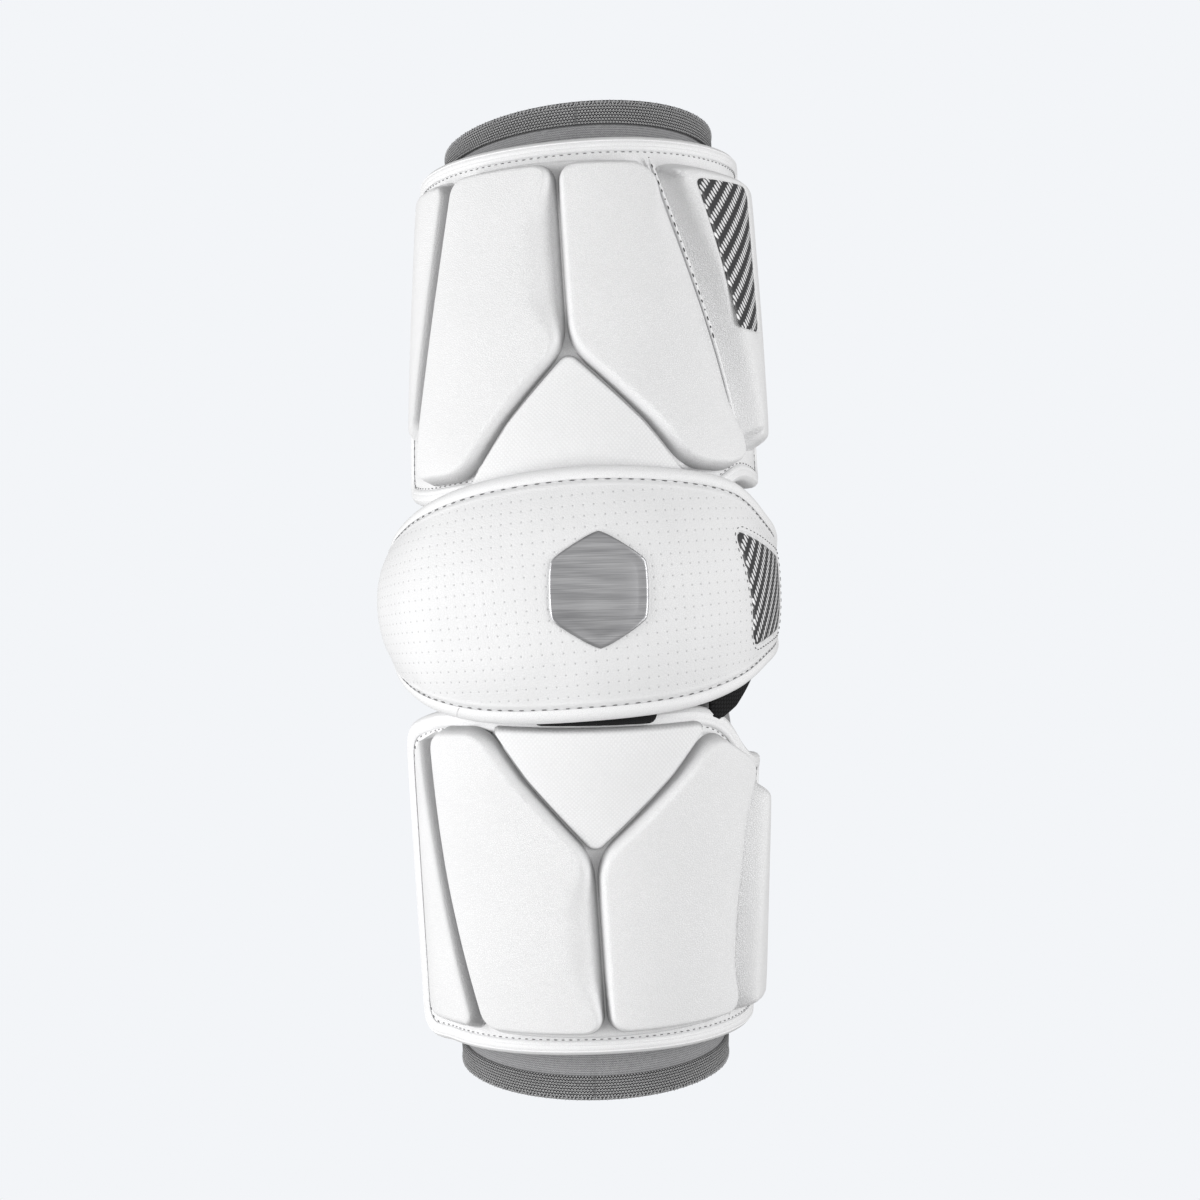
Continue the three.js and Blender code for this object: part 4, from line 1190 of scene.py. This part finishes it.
def build_cap_edge():
    """The tape rolled round the cap, its joint at the lower left, and the stitches beside it."""
    loop = cap_outline()
    profile = [
        (1.1, 0.5), (0.5, 0.15), (0.1, 0.8), (0.0, 2.0), (0.0, 3.4), (0.25, 4.5), (0.8, 5.25), (1.5, 5.65),
        (2.3, 5.75), (3.1, 5.55), (3.75, 5.15), (CAP_TAPE_LIP, 4.65), (4.1, 4.45), (3.0, 4.6), (2.0, 4.7),
        (1.3, 4.3), (1.1, 2.5),
    ]
    tape = swept("cap_rolled_tape", loop, profile, cap_lift, 3)
    dress(tape, "white_tape", "white_tape", "cap_binding")
    joint = loop[np.argmin(np.linalg.norm(loop - TAPE_JOINT, axis=1))]
    bead("cap_tape_joint", joint + np.linspace([0.3, 0.8], [2.4, 3.8], 7), 0.8, 0.55, 5.35, on_cap)
    seam = follow(loop, TAPE + SEAT + 3.0, 3)
    stitches("cap_edge_stitches", seam, 3.7, 1.9, 0.45, 4.3, place=on_cap)


def build_cap_inlay():
    frame_line = outline(CAP_INLAY, cap_place, -1.5, FINE_STEP)
    stitches("cap_inlay_stitches", frame_line, 2.6, 1.4, 0.4, CAP_EDGE + 0.35, place=on_cap)
    build_inlay("cap_woven_patch", CAP_INLAY, cap_place, "cap_inlay",
                lambda x, y: np.full(len(x), CAP_EDGE + 0.3), lay=on_cap)


def build_badge():
    """A raised silver patch with a rolled rim, modelled flat and then laid on the cap."""
    bpy.ops.object.select_all(action="DESELECT")
    bpy.ops.mesh.primitive_circle_add(vertices=72, radius=1, fill_type="NGON")
    badge = bpy.context.object
    badge.name = badge.data.name = "silver_badge"
    bpy.ops.object.mode_set(mode="EDIT")
    bpy.ops.mesh.select_all(action="SELECT")
    rim = [(0.45, 1), (0.2, 0.985), (0.08, 0.98), (0, 0.965), (-0.2, 0.97)]
    face = [(0, 0.85)] * 9
    for rise, scale in rim + face:
        bpy.ops.mesh.extrude_region_move(TRANSFORM_OT_translate={"value": (0, 0, rise)})
        bpy.ops.transform.resize(value=(scale, scale, 1), center_override=(0, 0, 0))
    bpy.ops.mesh.select_all(action="SELECT")
    bpy.ops.mesh.normals_make_consistent(inside=False)
    bpy.ops.object.mode_set(mode="OBJECT")
    flat = np.array([corner.co[:] for corner in badge.data.vertices])
    turn = np.arctan2(flat[:, 0], flat[:, 1]) % (math.pi / 3)
    hexagon = math.cos(math.pi / 6) / np.cos(turn - math.pi / 6)
    sharpness, corner_reach = 16, 0.98
    rounded = (hexagon ** -sharpness + corner_reach ** -sharpness) ** (-1 / sharpness)
    flat[:, 0] *= rounded * BADGE_WIDTH / math.sqrt(3)
    flat[:, 1] *= rounded * BADGE_HEIGHT / 2
    flat[:, :2] += [BADGE_ANGLE * per_degree, BADGE_RAISE]
    places = on_cap(flat[:, 0], flat[:, 1], CAP_EDGE + 0.42 + flat[:, 2])
    badge.data.vertices.foreach_set("co", places.ravel())
    badge.data.update()
    keep_flat(badge.data, flat[:, :2])
    bpy.ops.object.shade_smooth_by_angle(angle=math.radians(40))
    dress(badge, "silver_film", "silver_film", "cap_badge")


# Black pieces

def rectangle(start, end, low, high, rounding, step, rings, grid):
    """A filled flat rectangle between two angles and two places, with its corners' depths."""
    rows = [(start, low, rounding), (end, low, rounding), (end, high, rounding), (start, high, rounding)]
    loop = outline(rows, lambda along: along, 0, step)
    corners, faces = fill(loop, rings, grid)
    depth, _ = edge_distance(corners, loop)
    return corners, faces, depth


def build_hook_patch():
    half = HOOK_WIDTH / 2 / per_degree
    low = -CAP_DROP - CAP_CLEAR
    corners, faces, depth = rectangle(HOOK_ANGLE - half, HOOK_ANGLE + half, low, low + HOOK_HEIGHT,
                                      3, 1.2, [0.3, 0.8, 1.5], 2.5)
    crown = cap_front - SEAT
    top = crown - 0.6 + 0.6 * moulded(depth, 1.5, 1.0, 2.0)
    patch = solid("loop_patch", corners, faces, top, crown - HOOK)
    dress(patch, "black_loops", "black_webbing", "hook_patch")


def on_strap(around, along, height):
    """Lays the strap's flat places on its course, which rises to the cap's ends."""
    angle = around / per_degree
    middle = np.interp(angle, course_angle, course_middle) * CAP_DROP
    rise = np.interp(angle, course_angle, course_rise) * (strap_end - SEAT)
    return on_arm(around, along + middle, height + rise)


def build_strap():
    half = STRAP_WIDTH / 2
    corners, faces, depth = rectangle(course_angle[0], course_angle[-1], -half, half,
                                      1.5, LINE_STEP, [0.4, 0.9, 1.6], 2.6)
    top = SEAT + WEBBING * (0.45 + 0.55 * moulded(depth, 1.6, 1.0, 2.0))
    strap = solid("black_elastic_strap", corners, faces, top, SEAT, place=on_strap)
    dress(strap, "black_webbing", "black_webbing", "elbow_strap")


build_sleeve()
build_cuff("top_elastic", "top_cuff", top_rim)
build_cuff("bottom_elastic", "bottom_cuff", bottom_rim)
whip_stitches("top_whip_stitches", top_rim)
whip_stitches("bottom_whip_stitches", bottom_rim)
build_panel("upper", UPPER_PANEL, upper_place)
build_panel("lower", LOWER_PANEL, lower_place)
build_skin("upper_moulded_skin", UPPER_SKIN, upper_place, "upper_front_skin")
build_skin("lower_moulded_skin", LOWER_SKIN, lower_place, "lower_front_skin")
build_blocks()
build_wings()
build_seams()
build_cap_body()
build_cap_edge()
build_cap_inlay()
build_badge()
build_hook_patch()
build_strap()


# Studio, with the arm's middle as its centre, in metres and watts

BACKDROP = (0.896, 0.913, 0.939, 1)
CAMERA_DISTANCE = 1.3
CAMERA_RIGHT = 0.005
CAMERA_ROLL = -1.1
LENS = 102.4


def softbox(name, degrees, height, distance, width, tall, power):
    """A rectangular lamp that stands at an angle round the arm and faces its middle."""
    lamp = bpy.data.lights.new(name, "AREA")
    lamp.shape = "RECTANGLE"
    lamp.size, lamp.size_y = width, tall
    lamp.energy = power
    holder = bpy.data.objects.new(name, lamp)
    turn = math.radians(degrees)
    holder.location = (distance * math.sin(turn), -distance * math.cos(turn), height)
    holder.rotation_euler = (-holder.location).to_track_quat("-Z", "Y").to_euler()
    bpy.context.scene.collection.objects.link(holder)


def build_world():
    """Soft white light all round, and the photo's pale backdrop where the camera sees it."""
    world = bpy.data.worlds.new("studio")
    bpy.context.scene.world = world
    world.use_nodes = True
    tree = world.node_tree
    tree.nodes.clear()
    light = add(tree, "ShaderNodeBackground", {"Color": (1, 1, 1, 1), "Strength": 0.32})
    seen = add(tree, "ShaderNodeBackground", {"Color": BACKDROP, "Strength": 1.0})
    path = add(tree, "ShaderNodeLightPath")
    choice = add(tree, "ShaderNodeMixShader",
                 {0: path.outputs["Is Camera Ray"], 1: light.outputs[0], 2: seen.outputs[0]})
    add(tree, "ShaderNodeOutputWorld", {"Surface": choice.outputs[0]})


def build_camera():
    camera = bpy.data.cameras.new("camera")
    camera.lens = LENS
    camera.sensor_width = 36
    holder = bpy.data.objects.new("camera", camera)
    holder.matrix_world = (Matrix.Translation((CAMERA_RIGHT, -CAMERA_DISTANCE, 0))
                           @ Matrix.Rotation(math.radians(90), 4, "X")
                           @ Matrix.Rotation(math.radians(CAMERA_ROLL), 4, "Z"))
    bpy.context.scene.collection.objects.link(holder)
    bpy.context.scene.camera = holder


build_world()
softbox("left_softbox", -63, -0.1, 1.3, 0.55, 1.2, 15.6)
softbox("right_softbox", 57, 0.02, 1.4, 0.55, 1.2, 12.6)
softbox("front_softbox", 0, 0.3, 1.6, 1.4, 1.2, 2)
build_camera()
bpy.context.scene.view_settings.view_transform = "Standard"
